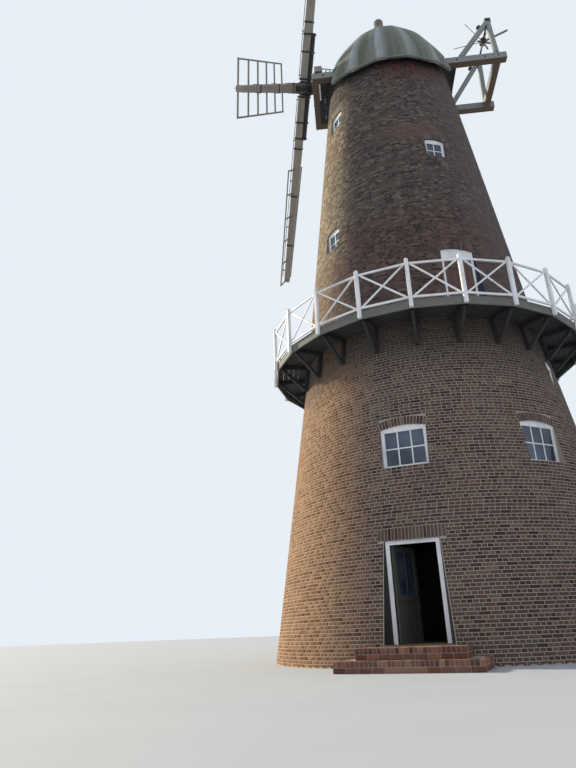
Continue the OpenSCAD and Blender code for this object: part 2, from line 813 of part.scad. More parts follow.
module sheer(side) {
    color(grey_paint) in_cap() translate([-sheer_front, side * sheer_y - sheer_w / 2, sheer_z])
        cube([sheer_front + sheer_rear, sheer_w, sheer_h]);
}

// Frame of the windshaft: +Z along the shaft out of the cap, +X up in the plane of the sails
module on_shaft() {
    translate([-hub_front, 0, hub_z]) rotate([0, -(90 - shaft_tilt), 0]) children();
}

function shaft_level(front) = hub_z - (hub_front - front) * tan(shaft_tilt);
weather_front = sheer_front - 100;

module weather_beam() {
    block_w = 2 * shaft_r + 220;
    block_h = shaft_level(weather_front - weather_d / 2) - sheer_top_z - weather_h;
    reach = sheer_y + sheer_w / 2 + 60;
    color(timber_color) in_cap() difference() {
        union() {
            translate([-weather_front, -reach, sheer_top_z + fit_gap])
                cube([weather_d, 2 * reach, weather_h - fit_gap]);
            translate([-weather_front, -block_w / 2, sheer_top_z + weather_h - over])
                cube([weather_d, block_w, block_h + over]);
        }
        on_shaft() translate([0, 0, -shaft_l]) cylinder(h = shaft_l, r = shaft_r + run_gap);
    }
}

module tie_beams() {
    length = 2 * sheer_y - sheer_w - 2 * fit_gap;
    color(timber_color) in_cap() {
        translate([-sheer_front, -length / 2, sheer_z]) cube([tie_w, length, sheer_h]);
        translate([tail_tie_x - tie_w / 2, -length / 2, sheer_z]) cube([tie_w, length, sheer_h]);
    }
}

tail_l = 260;

module sprattle_beam() {
    length = 2 * sheer_y - sheer_w - 2 * fit_gap;
    tail_x = shaft_l * cos(shaft_tilt) - hub_front;
    beam_x = tail_x + 30;
    block_x = tail_x - 180;
    block_r = tail_r + 110;
    block_low = shaft_level(-tail_x) - block_r;
    block_top = max(shaft_level(-tail_x) + block_r + 40, sheer_z + 100);
    color(timber_color) in_cap() difference() {
        union() {
            translate([beam_x, -length / 2, sheer_z]) cube([tie_w, length, sheer_h]);
            translate([block_x, -block_r, block_low])
                cube([beam_x + tie_w - block_x, 2 * block_r, block_top - block_low]);
        }
        on_shaft() translate([0, 0, -shaft_l - 20]) cylinder(h = tail_l + 20, r = tail_r + run_gap);
        on_shaft() translate([0, 0, -shaft_l + tail_l - run_gap]) cylinder(h = shaft_l, r = shaft_r + 40);
    }
}

// A square timber between two points
module timber(from, to, size) {
    run = to - from;
    flat = norm([run[0], run[1]]);
    translate(from) rotate([0, atan2(flat, run[2]), atan2(run[1], run[0])])
        translate([-size / 2, -size / 2, 0]) cube([size, size, norm(run)]);
}

// Two legs that meet at the bearing of the axle, with an iron spike over it
module fan_frame(side) {
    apex = [fan_x, side * fan_y, fan_z];
    foot_y = side * sheer_y;
    foot_z = sheer_top_z - 150;
    block = leg_t + 70;
    spike_r = 16;
    color(grey_paint) in_cap() difference() {
        union() {
            timber([fan_x - fan_leg_x, foot_y, foot_z], apex, leg_t);
            timber([fan_x, foot_y, foot_z], apex, leg_t);
            translate(apex - [block / 2, leg_t / 2, block / 2]) cube([block, leg_t, block]);
            translate(apex) cylinder(h = spike_h, r = spike_r);
        }
        translate([-far / 2, -far / 2, sheer_top_z + fit_gap - far]) cube([far, far, far]);
        translate([fan_x, -far / 2, fan_z]) rotate([-90, 0, 0]) cylinder(h = far, r = axle_r + run_gap);
    }
}

module windshaft() {
    color(iron_color) in_cap() on_shaft() {
        translate([0, 0, -shaft_l + tail_l])
            cylinder(h = shaft_l - tail_l - boss_l + boss_front - fit_gap, r = shaft_r);
        translate([0, 0, -shaft_l]) cylinder(h = tail_l + over, r = tail_r);
    }
}

arm_z = -whip_d / 2 - fit_gap - arm_d;

module in_sail(i) {
    in_cap() on_shaft() rotate([0, 0, -(sail_park + 90 * i)]) children();
}

module cross_arm() {
    translate([0, 0, arm_z]) linear_extrude(arm_d)
        polygon([[0, -arm_w / 2], [arm_l, -arm_w * 0.38], [arm_l, arm_w * 0.38], [0, arm_w / 2]]);
}

module poll_cross() {
    color(iron_color) in_cap() on_shaft() union() {
        translate([0, 0, boss_front - boss_l]) cylinder(h = boss_l, r = boss_r);
        for (i = [0:3]) rotate([0, 0, -(sail_park + 90 * i)]) cross_arm();
    }
}

whip_start = boss_r + 5;

function whip_wide(r) = between(whip_w, whip_tip_w, (r - whip_start) / (sail_r - whip_start));
function whip_deep(r) = r < arm_l ? whip_d : between(whip_d, whip_tip_d, (r - arm_l) / (sail_r - arm_l));

module whip(grow = 0) {
    w = whip_w / 2 + grow;
    tip_w = whip_tip_w / 2 + grow;
    d = whip_d / 2 + grow;
    tip_d = whip_tip_d / 2 + grow;
    intersection() {
        translate([0, 0, -whip_d]) linear_extrude(2 * whip_d)
            polygon([[whip_start, -w], [sail_r, -tip_w], [sail_r, tip_w], [whip_start, w]]);
        rotate([90, 0, 0]) translate([0, 0, -whip_w]) linear_extrude(2 * whip_w)
            polygon([[whip_start, -d], [arm_l, -d], [sail_r, -tip_d], [sail_r, tip_d], [arm_l, d],
                [whip_start, d]]);
    }
}

function bar_at(i) = heel_r + bar_w / 2 + i * (sail_r - bar_w - heel_r) / sail_bays;
function twist_at(i) = between(heel_twist, tip_twist, i / sail_bays);
function bar_end(i, side) = [bar_at(i), side * (bar_l - hem_w / 2) * cos(twist_at(i)),
    bar_rise + side * (bar_l - hem_w / 2) * sin(twist_at(i))];

module sail(index) {
    color(timber_color) in_sail(index) union() {
        whip();
        for (i = [0:sail_bays]) translate([bar_at(i), 0, bar_rise]) rotate([twist_at(i), 0, 0])
            translate([-bar_w / 2, -bar_l, -bar_d / 2]) cube([bar_w, 2 * bar_l, bar_d]);
        for (side = [-1, 1]) timber(bar_end(0, side), bar_end(sail_bays, side), hem_w);
    }
}

strap_places = concat([boss_r + strap_w], [for (d = [strap_back, strap_inset, -strap_ahead]) arm_l - d],
    [bar_at(1.12), bar_at(3.3)]);

// A flat iron band round the whip, and round the arm behind it where they lie together
module strap(r) {
    inner = r - strap_w / 2;
    outer = r + strap_w / 2;
    wide = whip_wide(inner) + 2 * strap_t;
    top = whip_deep(inner) / 2 + strap_t;
    low = (r < arm_l ? arm_z : -whip_deep(inner) / 2) - strap_t;
    difference() {
        translate([inner, -wide / 2, low]) cube([strap_w, wide, top - low]);
        if (r < arm_l) translate([inner - over, -whip_wide(outer) / 2, arm_z - fit_gap])
            cube([strap_w + 2 * over, whip_wide(outer), fit_gap - arm_z]);
    }
}

module sail_straps() {
    color(iron_color) for (i = [0:3]) in_sail(i) difference() {
        for (r = strap_places) strap(r);
        whip(fit_gap);
    }
}

// A thin rod in front of each sail, carried by guides on the whip
module shutter_rods() {
    rod_z = whip_d / 2 + rod_rise;
    rod_start = boss_r + 60;
    tip_gap = 200;
    guide_w = 40;
    guides = [boss_r + 180, arm_l + 40, for (i = [0.5:2:sail_bays]) bar_at(i)];
    color(iron_color) for (i = [0:3]) in_sail(i) difference() {
        union() {
            translate([rod_start, 0, rod_z]) rotate([0, 90, 0])
                cylinder(h = sail_r - rod_start - tip_gap, r = rod_r);
            for (r = guides) translate([r - guide_w / 2, -guide_w / 2, 0])
                cube([guide_w, guide_w, rod_z + rod_r + 8]);
        }
        whip(fit_gap);
    }
}

// Fan arms as [direction from the rear, reach, width]; most are broken short, two are bare rods
fan_arms = [[-22, 420, 55], [25, fan_r - 60, 60], [68, 520, 50], [117, fan_r, 22],
    [158, 240, 50], [190, fan_r - 40, 22], [254, 450, 55], [288, 430, 55]];

module fan_wheel() {
    color(iron_color) in_cap() translate([fan_x, 0, fan_z]) {
        rotate([90, 0, 0]) translate([0, 0, -fan_y - leg_t / 2 - 40])
            cylinder(h = 2 * fan_y + leg_t + 80, r = axle_r);
        rotate([90, 0, 0]) translate([0, 0, -fan_hub_l / 2]) cylinder(h = fan_hub_l, r = fan_hub_r);
        for (a = fan_arms) rotate([0, -a[0], 0]) translate([fan_hub_r / 2, -a[2] / 2, -a[2] / 2])
            cube([a[1] - fan_hub_r / 2, a[2], a[2]]);
    }
}

ground_floor();
over_door_wall();
wall_stretch(0);  // front_right_wall
wall_stretch(1);  // right_wall
wall_stretch(2);  // back_right_wall
wall_stretch(3);  // back_wall
wall_stretch(4);  // back_left_wall
wall_stretch(5);  // left_wall
wall_stretch(6);  // front_left_wall
wall_stretch(7);  // door_left_wall
upper_floors();
entrance_steps();
door_frame();
window_frames();
window_panes();
stage_door_leaves();
curb();
stage_deck();
stage_fascia();
stage_brackets();
stage_posts();
stage_panels();
cap_ring();
cap_dome();
cap_finial();
sheer(1);  // sheer_right
sheer(-1);  // sheer_left
weather_beam();
tie_beams();
sprattle_beam();
fan_frame(1);  // fan_frame_right
fan_frame(-1);  // fan_frame_left
windshaft();
poll_cross();
sail(0);  // sail_1
sail(1);  // sail_2
sail(2);  // sail_3
sail(3);  // sail_4
sail_straps();
shutter_rods();
fan_wheel();
door_leaf();
door_pane();
door_ironwork();
door_pintles();
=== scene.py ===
import random
from math import asin, atan2, cos, degrees, hypot, pi, radians as rad, sin, sqrt, tan

import bmesh
import bpy
import numpy as np
from mathutils import Matrix, Vector


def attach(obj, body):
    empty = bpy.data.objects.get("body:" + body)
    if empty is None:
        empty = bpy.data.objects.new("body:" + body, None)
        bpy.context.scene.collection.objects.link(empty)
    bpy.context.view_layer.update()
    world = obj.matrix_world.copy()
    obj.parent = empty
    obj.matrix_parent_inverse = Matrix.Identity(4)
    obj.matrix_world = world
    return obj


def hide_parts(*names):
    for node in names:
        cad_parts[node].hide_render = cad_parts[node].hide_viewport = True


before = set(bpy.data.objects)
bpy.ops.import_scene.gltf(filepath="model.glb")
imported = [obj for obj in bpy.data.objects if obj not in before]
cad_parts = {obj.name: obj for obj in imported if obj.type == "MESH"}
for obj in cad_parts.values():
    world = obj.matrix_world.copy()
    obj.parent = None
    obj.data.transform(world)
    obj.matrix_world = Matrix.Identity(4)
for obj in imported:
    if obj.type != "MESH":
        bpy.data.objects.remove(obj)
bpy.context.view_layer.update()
random.seed(7)
print("frame loaded")

tower = dict(footR=4.59, waistR=3.45, topR=2.13, waistZ=7.68, height=18.5, doorTopZ=2.44)
capSet = dict(yaw=17, domeR=2.53, rimZ=17.85, domeH=4.14, gores=16, domeT=0.07, crownR=0.24,
              mouthW=2.88, mouthTop=19.0, skirtL=2.56, skirtSlope=21)
shaftSet = dict(front=3.04, height=19.67, tilt=16, radius=0.205)
sailSet = dict(park=47.5, reach=7.56, heel=2.9, barReach=0.744, bays=5, heelTwist=7, tipTwist=2,
               armReach=1.82)
stageSet = dict(topZ=7.9, cornerR=4.39, bays=22, firstCorner=-32.6, deckT=0.05, fasciaH=0.22, fasciaT=0.04)

# directions and places
upward, across, outward = (0, 0, 1), (0, 1, 0), (1, 0, 0)
atOrigin = Matrix.Identity(4)


def outerR(z):
    t = tower
    if z < t["waistZ"]:
        return t["footR"] + (t["waistR"] - t["footR"]) * z / t["waistZ"]
    return t["waistR"] + (t["topR"] - t["waistR"]) * (z - t["waistZ"]) / (t["height"] - t["waistZ"])


def polar(r, turn, z=0.0):
    return Vector((r * cos(turn), r * sin(turn), z))


def aim(turn, height):
    return Vector((cos(turn) * cos(height), sin(turn) * cos(height), sin(height)))


def facing(direction):
    return Matrix.Rotation(rad(direction), 4, "Z")


def stand(x, y, z, origin):
    place = Matrix((x, y, z)).transposed().to_4x4()
    place.translation = Vector(origin)
    return place


# x runs along run, and z as near to up as it can
def along(origin, run, up=upward):
    x = Vector(run).normalized()
    y = Vector(up).cross(x).normalized()
    return stand(x, y, x.cross(y), origin)


def addObject(name, data):
    made = bpy.data.objects.new(name, data)
    bpy.context.scene.collection.objects.link(made)
    return made


# camera: low in front of the mill, looking up at the cap
cameraSet = dict(place=(2.735, -17.269, 0.72), heading=112.344, pitch=21.99, roll=-2.166, lens=28.84)


def addCamera(c):
    heading, roll = rad(c["heading"]), rad(c["roll"])
    forward, right = aim(heading, rad(c["pitch"])), Vector((sin(heading), -cos(heading), 0))
    up = right.cross(forward)
    data = bpy.data.cameras.new("camera")
    data.lens, data.sensor_width, data.clip_start, data.clip_end = c["lens"], 36, 0.1, 2000
    camera = addObject("camera", data)
    camera.matrix_world = stand(cos(roll) * right + sin(roll) * up, cos(roll) * up - sin(roll) * right,
                                -forward, c["place"])
    bpy.context.scene.camera = camera


addCamera(cameraSet)
print("camera placed")


# a socket that takes + - and *, each adding its Math node
class Wire:
    def __init__(self, graph, socket):
        self.graph, self.socket = graph, socket

    def math(self, operation, *values):
        return self.graph.add("ShaderNodeMath", dict(operation=operation), dict(enumerate(values)))

    def __add__(self, other):
        return self.math("ADD", self, other)

    def __sub__(self, other):
        return self.math("SUBTRACT", self, other)

    def __rsub__(self, other):
        return self.math("SUBTRACT", other, self)

    def __mul__(self, other):
        return self.math("MULTIPLY", self, other)

    __radd__, __rmul__ = __add__, __mul__

    def clip(self):
        return self.graph.add("ShaderNodeClamp", {}, {0: self})


# a colour as a screen shows it, 0 to 255, in the shader's linear scale
def paint(color):
    if isinstance(color, Wire) or len(color) == 4:
        return color
    return tuple(((v / 255 + 0.055) / 1.055) ** 2.4 for v in color) + (1,)


# a node tree: add makes any node from its type, its settings and the values or wires of its sockets
class Graph:
    def __init__(self, tree):
        self.tree = tree

    def put(self, socket, value):
        if isinstance(value, Wire):
            self.tree.links.new(value.socket, socket)
        else:
            socket.default_value = value

    def add(self, nodeType, settings, values, out=0):
        node = self.tree.nodes.new(nodeType)
        for key, value in settings.items():
            if key == "stops":
                ramp = node.color_ramp
                while len(ramp.elements) < len(value):
                    ramp.elements.new(1)
                for element, (place, color) in zip(ramp.elements, value):
                    element.position, element.color = place, paint(color)
            else:
                setattr(node, key, value)
        for key, value in values.items():
            self.put(node.inputs[key], value)
        return Wire(self, node.outputs[out])


class Finish(Graph):
    def __init__(self, name, **constants):
        self.material = bpy.data.materials.new(name)
        self.material.use_nodes = True
        super().__init__(self.material.node_tree)
        self.shader = self.tree.nodes["Principled BSDF"]
        for socket, value in constants.items():
            self.shader.inputs[socket.replace("_", " ")].default_value = value

    def feed(self, name, value):
        self.put(self.shader.inputs[name], value)

    # every finish ends with its colour, its roughness and its relief
    def close(self, color, roughness, relief, depth, **more):
        self.feed("Base Color", color)
        self.feed("Roughness", roughness)
        self.feed("Normal", self.add("ShaderNodeBump", {}, dict(Height=relief, Distance=depth, **more)))
        return self

    def place(self):
        return self.add("ShaderNodeTexCoord", {}, {}, "Object")

    def grain(self):
        return self.add("ShaderNodeAttribute", dict(attribute_name="grain"), {}, "Vector")

    def tone(self):
        return self.add("ShaderNodeAttribute", dict(attribute_name="tone"), {}, "Fac")

    def vector(self, operation, *values, out=0):
        return self.add("ShaderNodeVectorMath", dict(operation=operation), dict(enumerate(values)), out)

    def stretch(self, vector, x, y, z):
        return self.vector("MULTIPLY", vector, (x, y, z))

    def level(self, vector):
        return self.vector("NORMALIZE", self.stretch(vector, 1, 1, 0))

    # how far a point of the tower is turned toward one direction: 1 faces it, -1 faces away
    def toward(self, vector, direction):
        return self.vector("DOT_PRODUCT", self.level(vector), aim(rad(direction), 0), out="Value")

    def part(self, vector, axis):
        return self.add("ShaderNodeSeparateXYZ", {}, {0: vector}, axis)

    def noise(self, vector, scale, detail=3, rough=0.5):
        return self.add("ShaderNodeTexNoise", {},
                        dict(Vector=vector, Scale=scale, Detail=detail, Roughness=rough))

    def spread(self, value, low, high):
        return self.add("ShaderNodeMapRange", {}, {"Value": value, "From Min": low, "From Max": high})

    def ramp(self, value, *stops):
        return self.add("ShaderNodeValToRGB", dict(stops=stops), {"Fac": value})

    def blend(self, factor, low, high):
        return self.add("ShaderNodeMix", dict(data_type="RGBA"),
                        {0: factor, 6: paint(low), 7: paint(high)}, 2)


# meshes
def addLayer(mesh, name, values):
    values = np.array(values, np.float32)
    kind, key = ("FLOAT_VECTOR", "vector") if values.ndim > 1 else ("FLOAT", "value")
    mesh.attributes.new(name, kind, "POINT").data.foreach_set(key, values.ravel())


def turnOutward(mesh):
    b = bmesh.new()
    b.from_mesh(mesh)
    bmesh.ops.recalc_face_normals(b, faces=b.faces)
    b.to_mesh(mesh)
    b.free()


def smoothFaces(mesh, angle):
    mesh.polygons.foreach_set("use_smooth", [True] * len(mesh.polygons))
    mesh.set_sharp_from_angle(angle=rad(angle))


# the body that a piece rides on, and the node that it stands for
def settle(piece, body, instead=None):
    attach(piece, body)
    if instead:
        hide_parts(instead)


# faces between rows of points, each row a ring
def tubeFaces(rows, count, closed=True):
    faces = []
    for base in range(0, (rows - 1) * count, count):
        for k in range(count):
            n = (k + 1) % count
            faces.append((base + k, base + n, base + count + n, base + count + k))
    if closed:
        faces += [tuple(range(count))[::-1], tuple(range((rows - 1) * count, rows * count))]
    return faces


# a mesh that is gathered point by point, with the direction of its grain and a tone for each piece in it
class Form:
    def __init__(self):
        self.points, self.faces, self.grain, self.tone, self.index = [], [], [], [], []

    def add(self, points, faces, grain=None, tone=0.5, index=0):
        base = len(self.points)
        self.points += [tuple(p) for p in points]
        self.faces += [tuple(base + i for i in f) for f in faces]
        self.grain += [tuple(g) for g in (grain or points)]
        self.tone += [tone] * len(points)
        self.index += [index] * len(faces)

    # a timber with planed corners: x runs along it from low to high
    def timber(self, place, low, high, edge=0.004, index=0, shape=None, steps=1):
        tone = random.random()
        offset = Vector((random.random() * 40, random.random() * 9, random.random() * 9))
        xs = [low[0] + (high[0] - low[0]) * i / steps for i in range(steps + 1)]
        rows = [(xs[0], edge), (xs[0] + edge, 0), *((x, 0) for x in xs[1:-1]),
                (xs[-1] - edge, 0), (xs[-1], edge)]
        points = []
        for x, inset in rows:
            y0, y1, z0, z1 = low[1] + inset, high[1] - inset, low[2] + inset, high[2] - inset
            e = edge * 0.4 if inset else edge
            points += [(x, y0 + e, z0), (x, y1 - e, z0), (x, y1, z0 + e), (x, y1, z1 - e),
                       (x, y1 - e, z1), (x, y0 + e, z1), (x, y0, z1 - e), (x, y0, z0 + e)]
        self.add([place @ Vector(shape(p) if shape else p) for p in points], tubeFaces(len(rows), 8),
                 [Vector(p) + offset for p in points], tone, index)

    # a timber centred on the line from origin along run: span is its length, or its start and end there
    def bar(self, place, origin, run, span, wide, deep, edge=0.004, up=upward, index=0):
        start, end = span if isinstance(span, tuple) else (0, span)
        self.timber(place @ along(origin, run, up), (start, -wide / 2, -deep / 2), (end, wide / 2, deep / 2),
                    edge, index)

    # a turned piece about the local z axis, from an outline of (radius, height)
    def turned(self, place, outline, sides=32, index=0):
        points = [polar(r, 2 * pi * k / sides, z) for r, z in outline for k in range(sides)]
        self.add([place @ p for p in points], tubeFaces(len(outline), sides), points, 0.5, index)

    # a washer and a six-sided head on a face with this normal
    def bolt(self, place, origin, normal, size=0.022, high=0.014, index=0):
        x = Vector(normal).normalized()
        y = Vector(upward if abs(x.z) < 0.9 else outward).cross(x).normalized()
        place = place @ stand(y, x.cross(y), x, origin)
        self.turned(place, [(size * 1.5, 0), (size * 1.5, high * 0.3), (size * 1.4, high * 0.4)], 16, index)
        self.turned(place, [(size, high * 0.3), (size, high * 0.9), (size * 0.85, high)], 6, index)

    # a plate of any outline, from the low face's corners to the high face's corners
    def slab(self, low, high, tone=None, index=0, grain=None):
        self.add(low + high, tubeFaces(2, len(low)), grain, random.random() if tone is None else tone, index)

    def finish(self, name, finishes, body, slot, smooth=None, instead=None):
        mesh = bpy.data.meshes.new(name)
        mesh.from_pydata(self.points, [], self.faces)
        addLayer(mesh, "grain", self.grain)
        addLayer(mesh, "tone", self.tone)
        mesh.polygons.foreach_set("material_index", self.index)
        turnOutward(mesh)
        for f in finishes:
            mesh.materials.append(f.material)
        if smooth:
            smoothFaces(mesh, smooth)
        settle(addObject(name, mesh), body, instead)


def dress(finish, *names):
    for name in names:
        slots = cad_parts[name].data.materials
        for i in range(len(slots)):
            slots[i] = finish.material
        if not len(slots):
            slots.append(finish.material)


# floor, lamps and background
lightSet = dict(skyColor=(0.93, 0.97, 1.0, 1), skyStrength=0.76, backColor=(0.80, 0.86, 0.93, 1),
                sunColor=(1.0, 0.89, 0.62), sunPower=5.6, sunAzimuth=163, sunHeight=28, sunAngle=4,
                floorR=160, floorSides=96, floorLow=(0.33, 0.355, 0.42, 1), floorHigh=(0.38, 0.405, 0.47, 1))


def addStudio(s):
    world = bpy.data.worlds.new("studio")
    bpy.context.scene.world = world
    world.use_nodes = True
    g = Graph(world.node_tree)
    seen, through, glossy = [g.add("ShaderNodeLightPath", {}, {}, "Is " + ray + " Ray")
                             for ray in ("Camera", "Transmission", "Glossy")]
    shown = seen.math("MAXIMUM", seen.math("MAXIMUM", seen, through), glossy)
    light = g.tree.nodes["Background"]
    g.put(light.inputs["Color"], s["skyColor"])
    g.put(light.inputs["Strength"], s["skyStrength"])
    back = g.add("ShaderNodeBackground", {}, {"Color": s["backColor"]})
    mix = g.add("ShaderNodeMixShader", {}, {0: shown, 1: Wire(g, light.outputs[0]), 2: back})
    g.put(g.tree.nodes["World Output"].inputs["Surface"], mix)

    lamp = bpy.data.lights.new("sun", "SUN")
    lamp.energy, lamp.color, lamp.angle = s["sunPower"], s["sunColor"], rad(s["sunAngle"])
    toSun = aim(rad(s["sunAzimuth"]), rad(s["sunHeight"]))
    addObject("sun", lamp).rotation_euler = toSun.to_track_quat("Z", "Y").to_euler()

    mesh, sides = bpy.data.meshes.new("floor"), s["floorSides"]
    mesh.from_pydata([(0, 0, 0)] + [polar(s["floorR"], 2 * pi * k / sides) for k in range(sides)], [],
                     [(0, 1 + k, 1 + (k + 1) % sides) for k in range(sides)])
    f = Finish("palePaving", Roughness=0.9)
    f.feed("Base Color", f.blend(f.noise(f.place(), 0.7, 4), s["floorLow"], s["floorHigh"]))
    mesh.materials.append(f.material)
    addObject("floor", mesh)


addStudio(lightSet)
bpy.context.scene.view_settings.view_transform = "Standard"
print("studio lit")

# finishes: painted sunlight on bricks and mortar faces litSide, and the red band under the cap faces redSide
litSide, redSide = 205, 311


def brickFinish():
    f = Finish("towerBrick", Roughness=0.9, Specular_IOR_Level=0.1)
    p, tone = f.place(), f.tone()
    height, side = f.part(p, 2), f.toward(p, litSide)
    cloud, speck = f.noise(p, 0.55, 4, 0.6), f.noise(p, 90, 3, 0.7)
    streak = f.noise(f.stretch(p, 1.6, 1.6, 0.16), 1.0, 4, 0.6)
    drift, run = cloud - 0.5, streak - 0.5
    # clay below, darker under the stage (painted shade of the deck, partly tar) and paler on the lit side
    # (painted sunlight)
    clay = f.ramp(tone, (0.0, (56, 46, 47)), (0.22, (78, 63, 61)), (0.50, (92, 75, 70)),
                  (0.68, (100, 73, 65)), (0.82, (86, 78, 77)), (0.95, (112, 94, 82)))
    clay = f.blend(f.spread(cloud, 0.52, 0.72) * 0.5, clay, (98, 88, 84))
    # the lit-side clay ramp: painted sunlight, paler and warmer than the shaded clay
    paintedSunClay = f.ramp(tone, (0.0, (116, 84, 69)), (0.4, (140, 106, 84)), (0.9, (158, 123, 98)))
    clay = f.blend(f.spread(side + run * 0.2, 0.56, 0.84) * 0.9, clay, paintedSunClay)
    # darker wall under the stage: painted shade of the deck, partly tar
    paintedUnderLight = f.spread(height + drift * 1.2, 6.1, 7.1) * f.spread(height, 7.9, 7.8)
    clay = f.blend(paintedUnderLight * 0.65, clay, (66, 63, 62))
    # tarred above: red bands at its top and foot, a worn patch, lighter grey behind (painted skylight), and
    # painted sunlight on the lit side up to just under the cap
    tarred = f.ramp(tone, (0.0, (53, 48, 50)), (0.3, (77, 70, 69)), (0.6, (95, 80, 78)), (0.8, (86, 84, 87)),
                    (0.95, (118, 105, 100)))
    red = f.ramp(tone, (0.0, (52, 33, 36)), (0.4, (78, 49, 50)), (0.8, (100, 58, 55)))
    # lit-side colours of the tarred wall: painted sunlight, warmer lower down, stopping short of the cap
    # where its painted shadow falls
    paintedSunTar = f.ramp(tone, (0.0, (95, 81, 72)), (0.5, (130, 114, 100)), (0.9, (167, 152, 132)))
    paintedSunTar = f.blend(f.spread(height + drift * 2.4, 11.4, 9.6) * 0.6, paintedSunTar, (126, 94, 78))
    topBand = f.spread(height + drift * 1.6, 16.8, 17.5) * f.spread(f.toward(p, redSide), 0.70, 0.92)
    lowBand = f.spread(height + drift * 2.4, 8.4, 9.2) * f.spread(height + drift * 2.0, 12.0, 11.0) * 0.45
    tarred = f.blend((topBand + lowBand).clip(), tarred, red)
    patch = f.vector("DISTANCE", f.stretch(p, 1, 1, 2.4), (1.06, -2.38, 35.0), out="Value")
    tarred = f.blend(f.spread(patch + drift * 2.4, 1.25, 0.35) * 0.6, tarred, (118, 90, 82))
    # lighter grey on the side away from the sun: painted skylight
    tarred = f.blend(f.spread(side, -0.1, -0.6) * 0.5, tarred, (104, 97, 97))
    paintedSunMask = f.spread(side + run * 0.5, 0.74, 0.88) * f.spread(height + drift * 0.8, 17.5, 16.9)
    tarred = f.blend(paintedSunMask * 0.9, tarred, paintedSunTar)
    color = f.blend(f.spread(height + run * 2.2, 7.4, 8.6), clay, tarred)
    color = f.blend(f.spread(streak, 0.56, 0.76) * 0.35, color, (60, 56, 56))
    color = f.blend(f.spread(speck, 0.60, 0.80) * 0.4, color, (160, 148, 134))
    # flat bricks take the light of the round, leaning wall they stand in
    wall = f.vector("ADD", f.level(p), (0, 0, 0.135))
    wall = f.add("ShaderNodeVectorTransform", dict(vector_type="NORMAL", convert_from="OBJECT",
                                                   convert_to="WORLD"), {0: wall})
    relief = f.noise(p, 55, 4, 0.7) + f.noise(p, 9, 2) * 0.5
    return f.close(color, 0.82 + speck * 0.16, relief, 0.0022, Normal=wall)


def mortarFinish():
    f = Finish("towerMortar", Roughness=0.95)
    p = f.place()
    height, side = f.part(p, 2), f.toward(p, litSide)
    cloud, fleck = f.noise(p, 0.8, 4, 0.6), f.noise(p, 30, 3)
    drift = cloud - 0.5
    light = f.blend(fleck, (138, 131, 125), (172, 164, 156))
    # paler warm mortar on the lit side: painted sunlight
    light = f.blend(f.spread(side, 0.56, 0.84), light, (174, 148, 122))
    # darker mortar under the stage: painted shade of the deck, partly tar
    light = f.blend(f.spread(height + drift * 1.2, 6.1, 7.1) * 0.7, light, (82, 78, 74))
    dark = f.blend(fleck, (70, 67, 67), (103, 97, 93))
    # paler mortar on the lit side up to just under the cap: painted sunlight, stopping short of the cap where
    # its painted shadow falls
    dark = f.blend(f.spread(side, 0.74, 0.88) * f.spread(height, 17.5, 16.9), dark, (132, 120, 102))
    color = f.blend(f.spread(height + drift * 2.0, 7.4, 8.8), light, dark)
    color = f.blend(f.spread(cloud, 0.55, 0.75) * 0.4, color, (92, 86, 80))
    return f.close(color, 0.85 + cloud * 0.12, f.noise(p, 120, 3, 0.7), 0.002)


# plain is for nodes that have no grain of their own; the pair of colours for a face that looks down is
# painted warm bounce light from the ground, partly bare wood
def timberFinish(name, pale, dark, paintedUnderLight=None, worn=0.35, plain=False):
    f = Finish(name, Roughness=0.8)
    g, tone = (f.place(), 0.5) if plain else (f.grain(), f.tone())
    fibre = f.noise(f.stretch(g, 1.2, 22, 22), 4.0, 5, 0.62)
    broad = f.noise(f.stretch(g, 0.5, 3, 3), 2.2, 3, 0.55)
    color = f.blend(f.spread(fibre, 0.30, 0.70), dark, pale)
    color = f.blend(f.spread(broad, 0.50, 0.74) * worn, color, (88, 84, 78))
    color = f.blend(f.spread(tone, 0.0, 1.0) * 0.28, color, f.blend(0.5, dark, pale))
    if paintedUnderLight:
        # faces that look down take the painted bounce-light colours
        down = f.spread(f.part(f.add("ShaderNodeNewGeometry", {}, {}, "Normal"), 2), -0.45, -0.85)
        color = f.blend(down, color, f.blend(f.spread(fibre, 0.3, 0.7), *paintedUnderLight))
    return f.close(color, 0.70 + fibre * 0.22, fibre + f.noise(f.stretch(g, 2, 60, 60), 3.0, 3) * 0.5, 0.002)


def paintFinish(name, color, dirt, rough=0.5, peel=0.6):
    f = Finish(name, Roughness=rough)
    p = f.place()
    stain, chip = f.noise(p, 2.4, 4, 0.6), f.noise(p, 26, 4, 0.7)
    run = f.noise(f.stretch(p, 9, 9, 0.9), 1.6, 4, 0.6)
    color = f.blend(f.spread(stain * 0.6 + run * 0.4, 0.46, 0.72) * peel, color, dirt)
    color = f.blend(f.spread(chip, 0.64, 0.72) * 0.6, color, (126, 118, 108))
    relief = chip * 0.5 + f.noise(p, 70, 2) * 0.2
    return f.close(color, rough + f.spread(stain, 0.3, 0.8) * 0.25, relief, 0.0012)


def ironFinish(name, base, rust, share=0.4, rough=0.55):
    f = Finish(name, Roughness=rough, Metallic=0.25)
    p = f.place()
    fine = f.noise(p, 38, 4, 0.7)
    mask = f.spread(f.noise(p, 3.2, 4, 0.6) * 0.6 + fine * 0.4, 0.44, 0.62)
    color = f.blend(mask * share, f.blend(fine, base, (70, 70, 72)), rust)
    return f.close(color, rough + mask * 0.3, fine, 0.0015)


def glassFinish(name, low, high):
    f = Finish(name, Roughness=0.06, IOR=1.5)
    p = f.place()
    return f.close(f.blend(f.spread(f.noise(p, 1.1, 2), 0.35, 0.65), low, high),
                   0.04 + f.spread(f.noise(p, 5, 3), 0.45, 0.7) * 0.22, f.noise(p, 3, 2), 0.001)


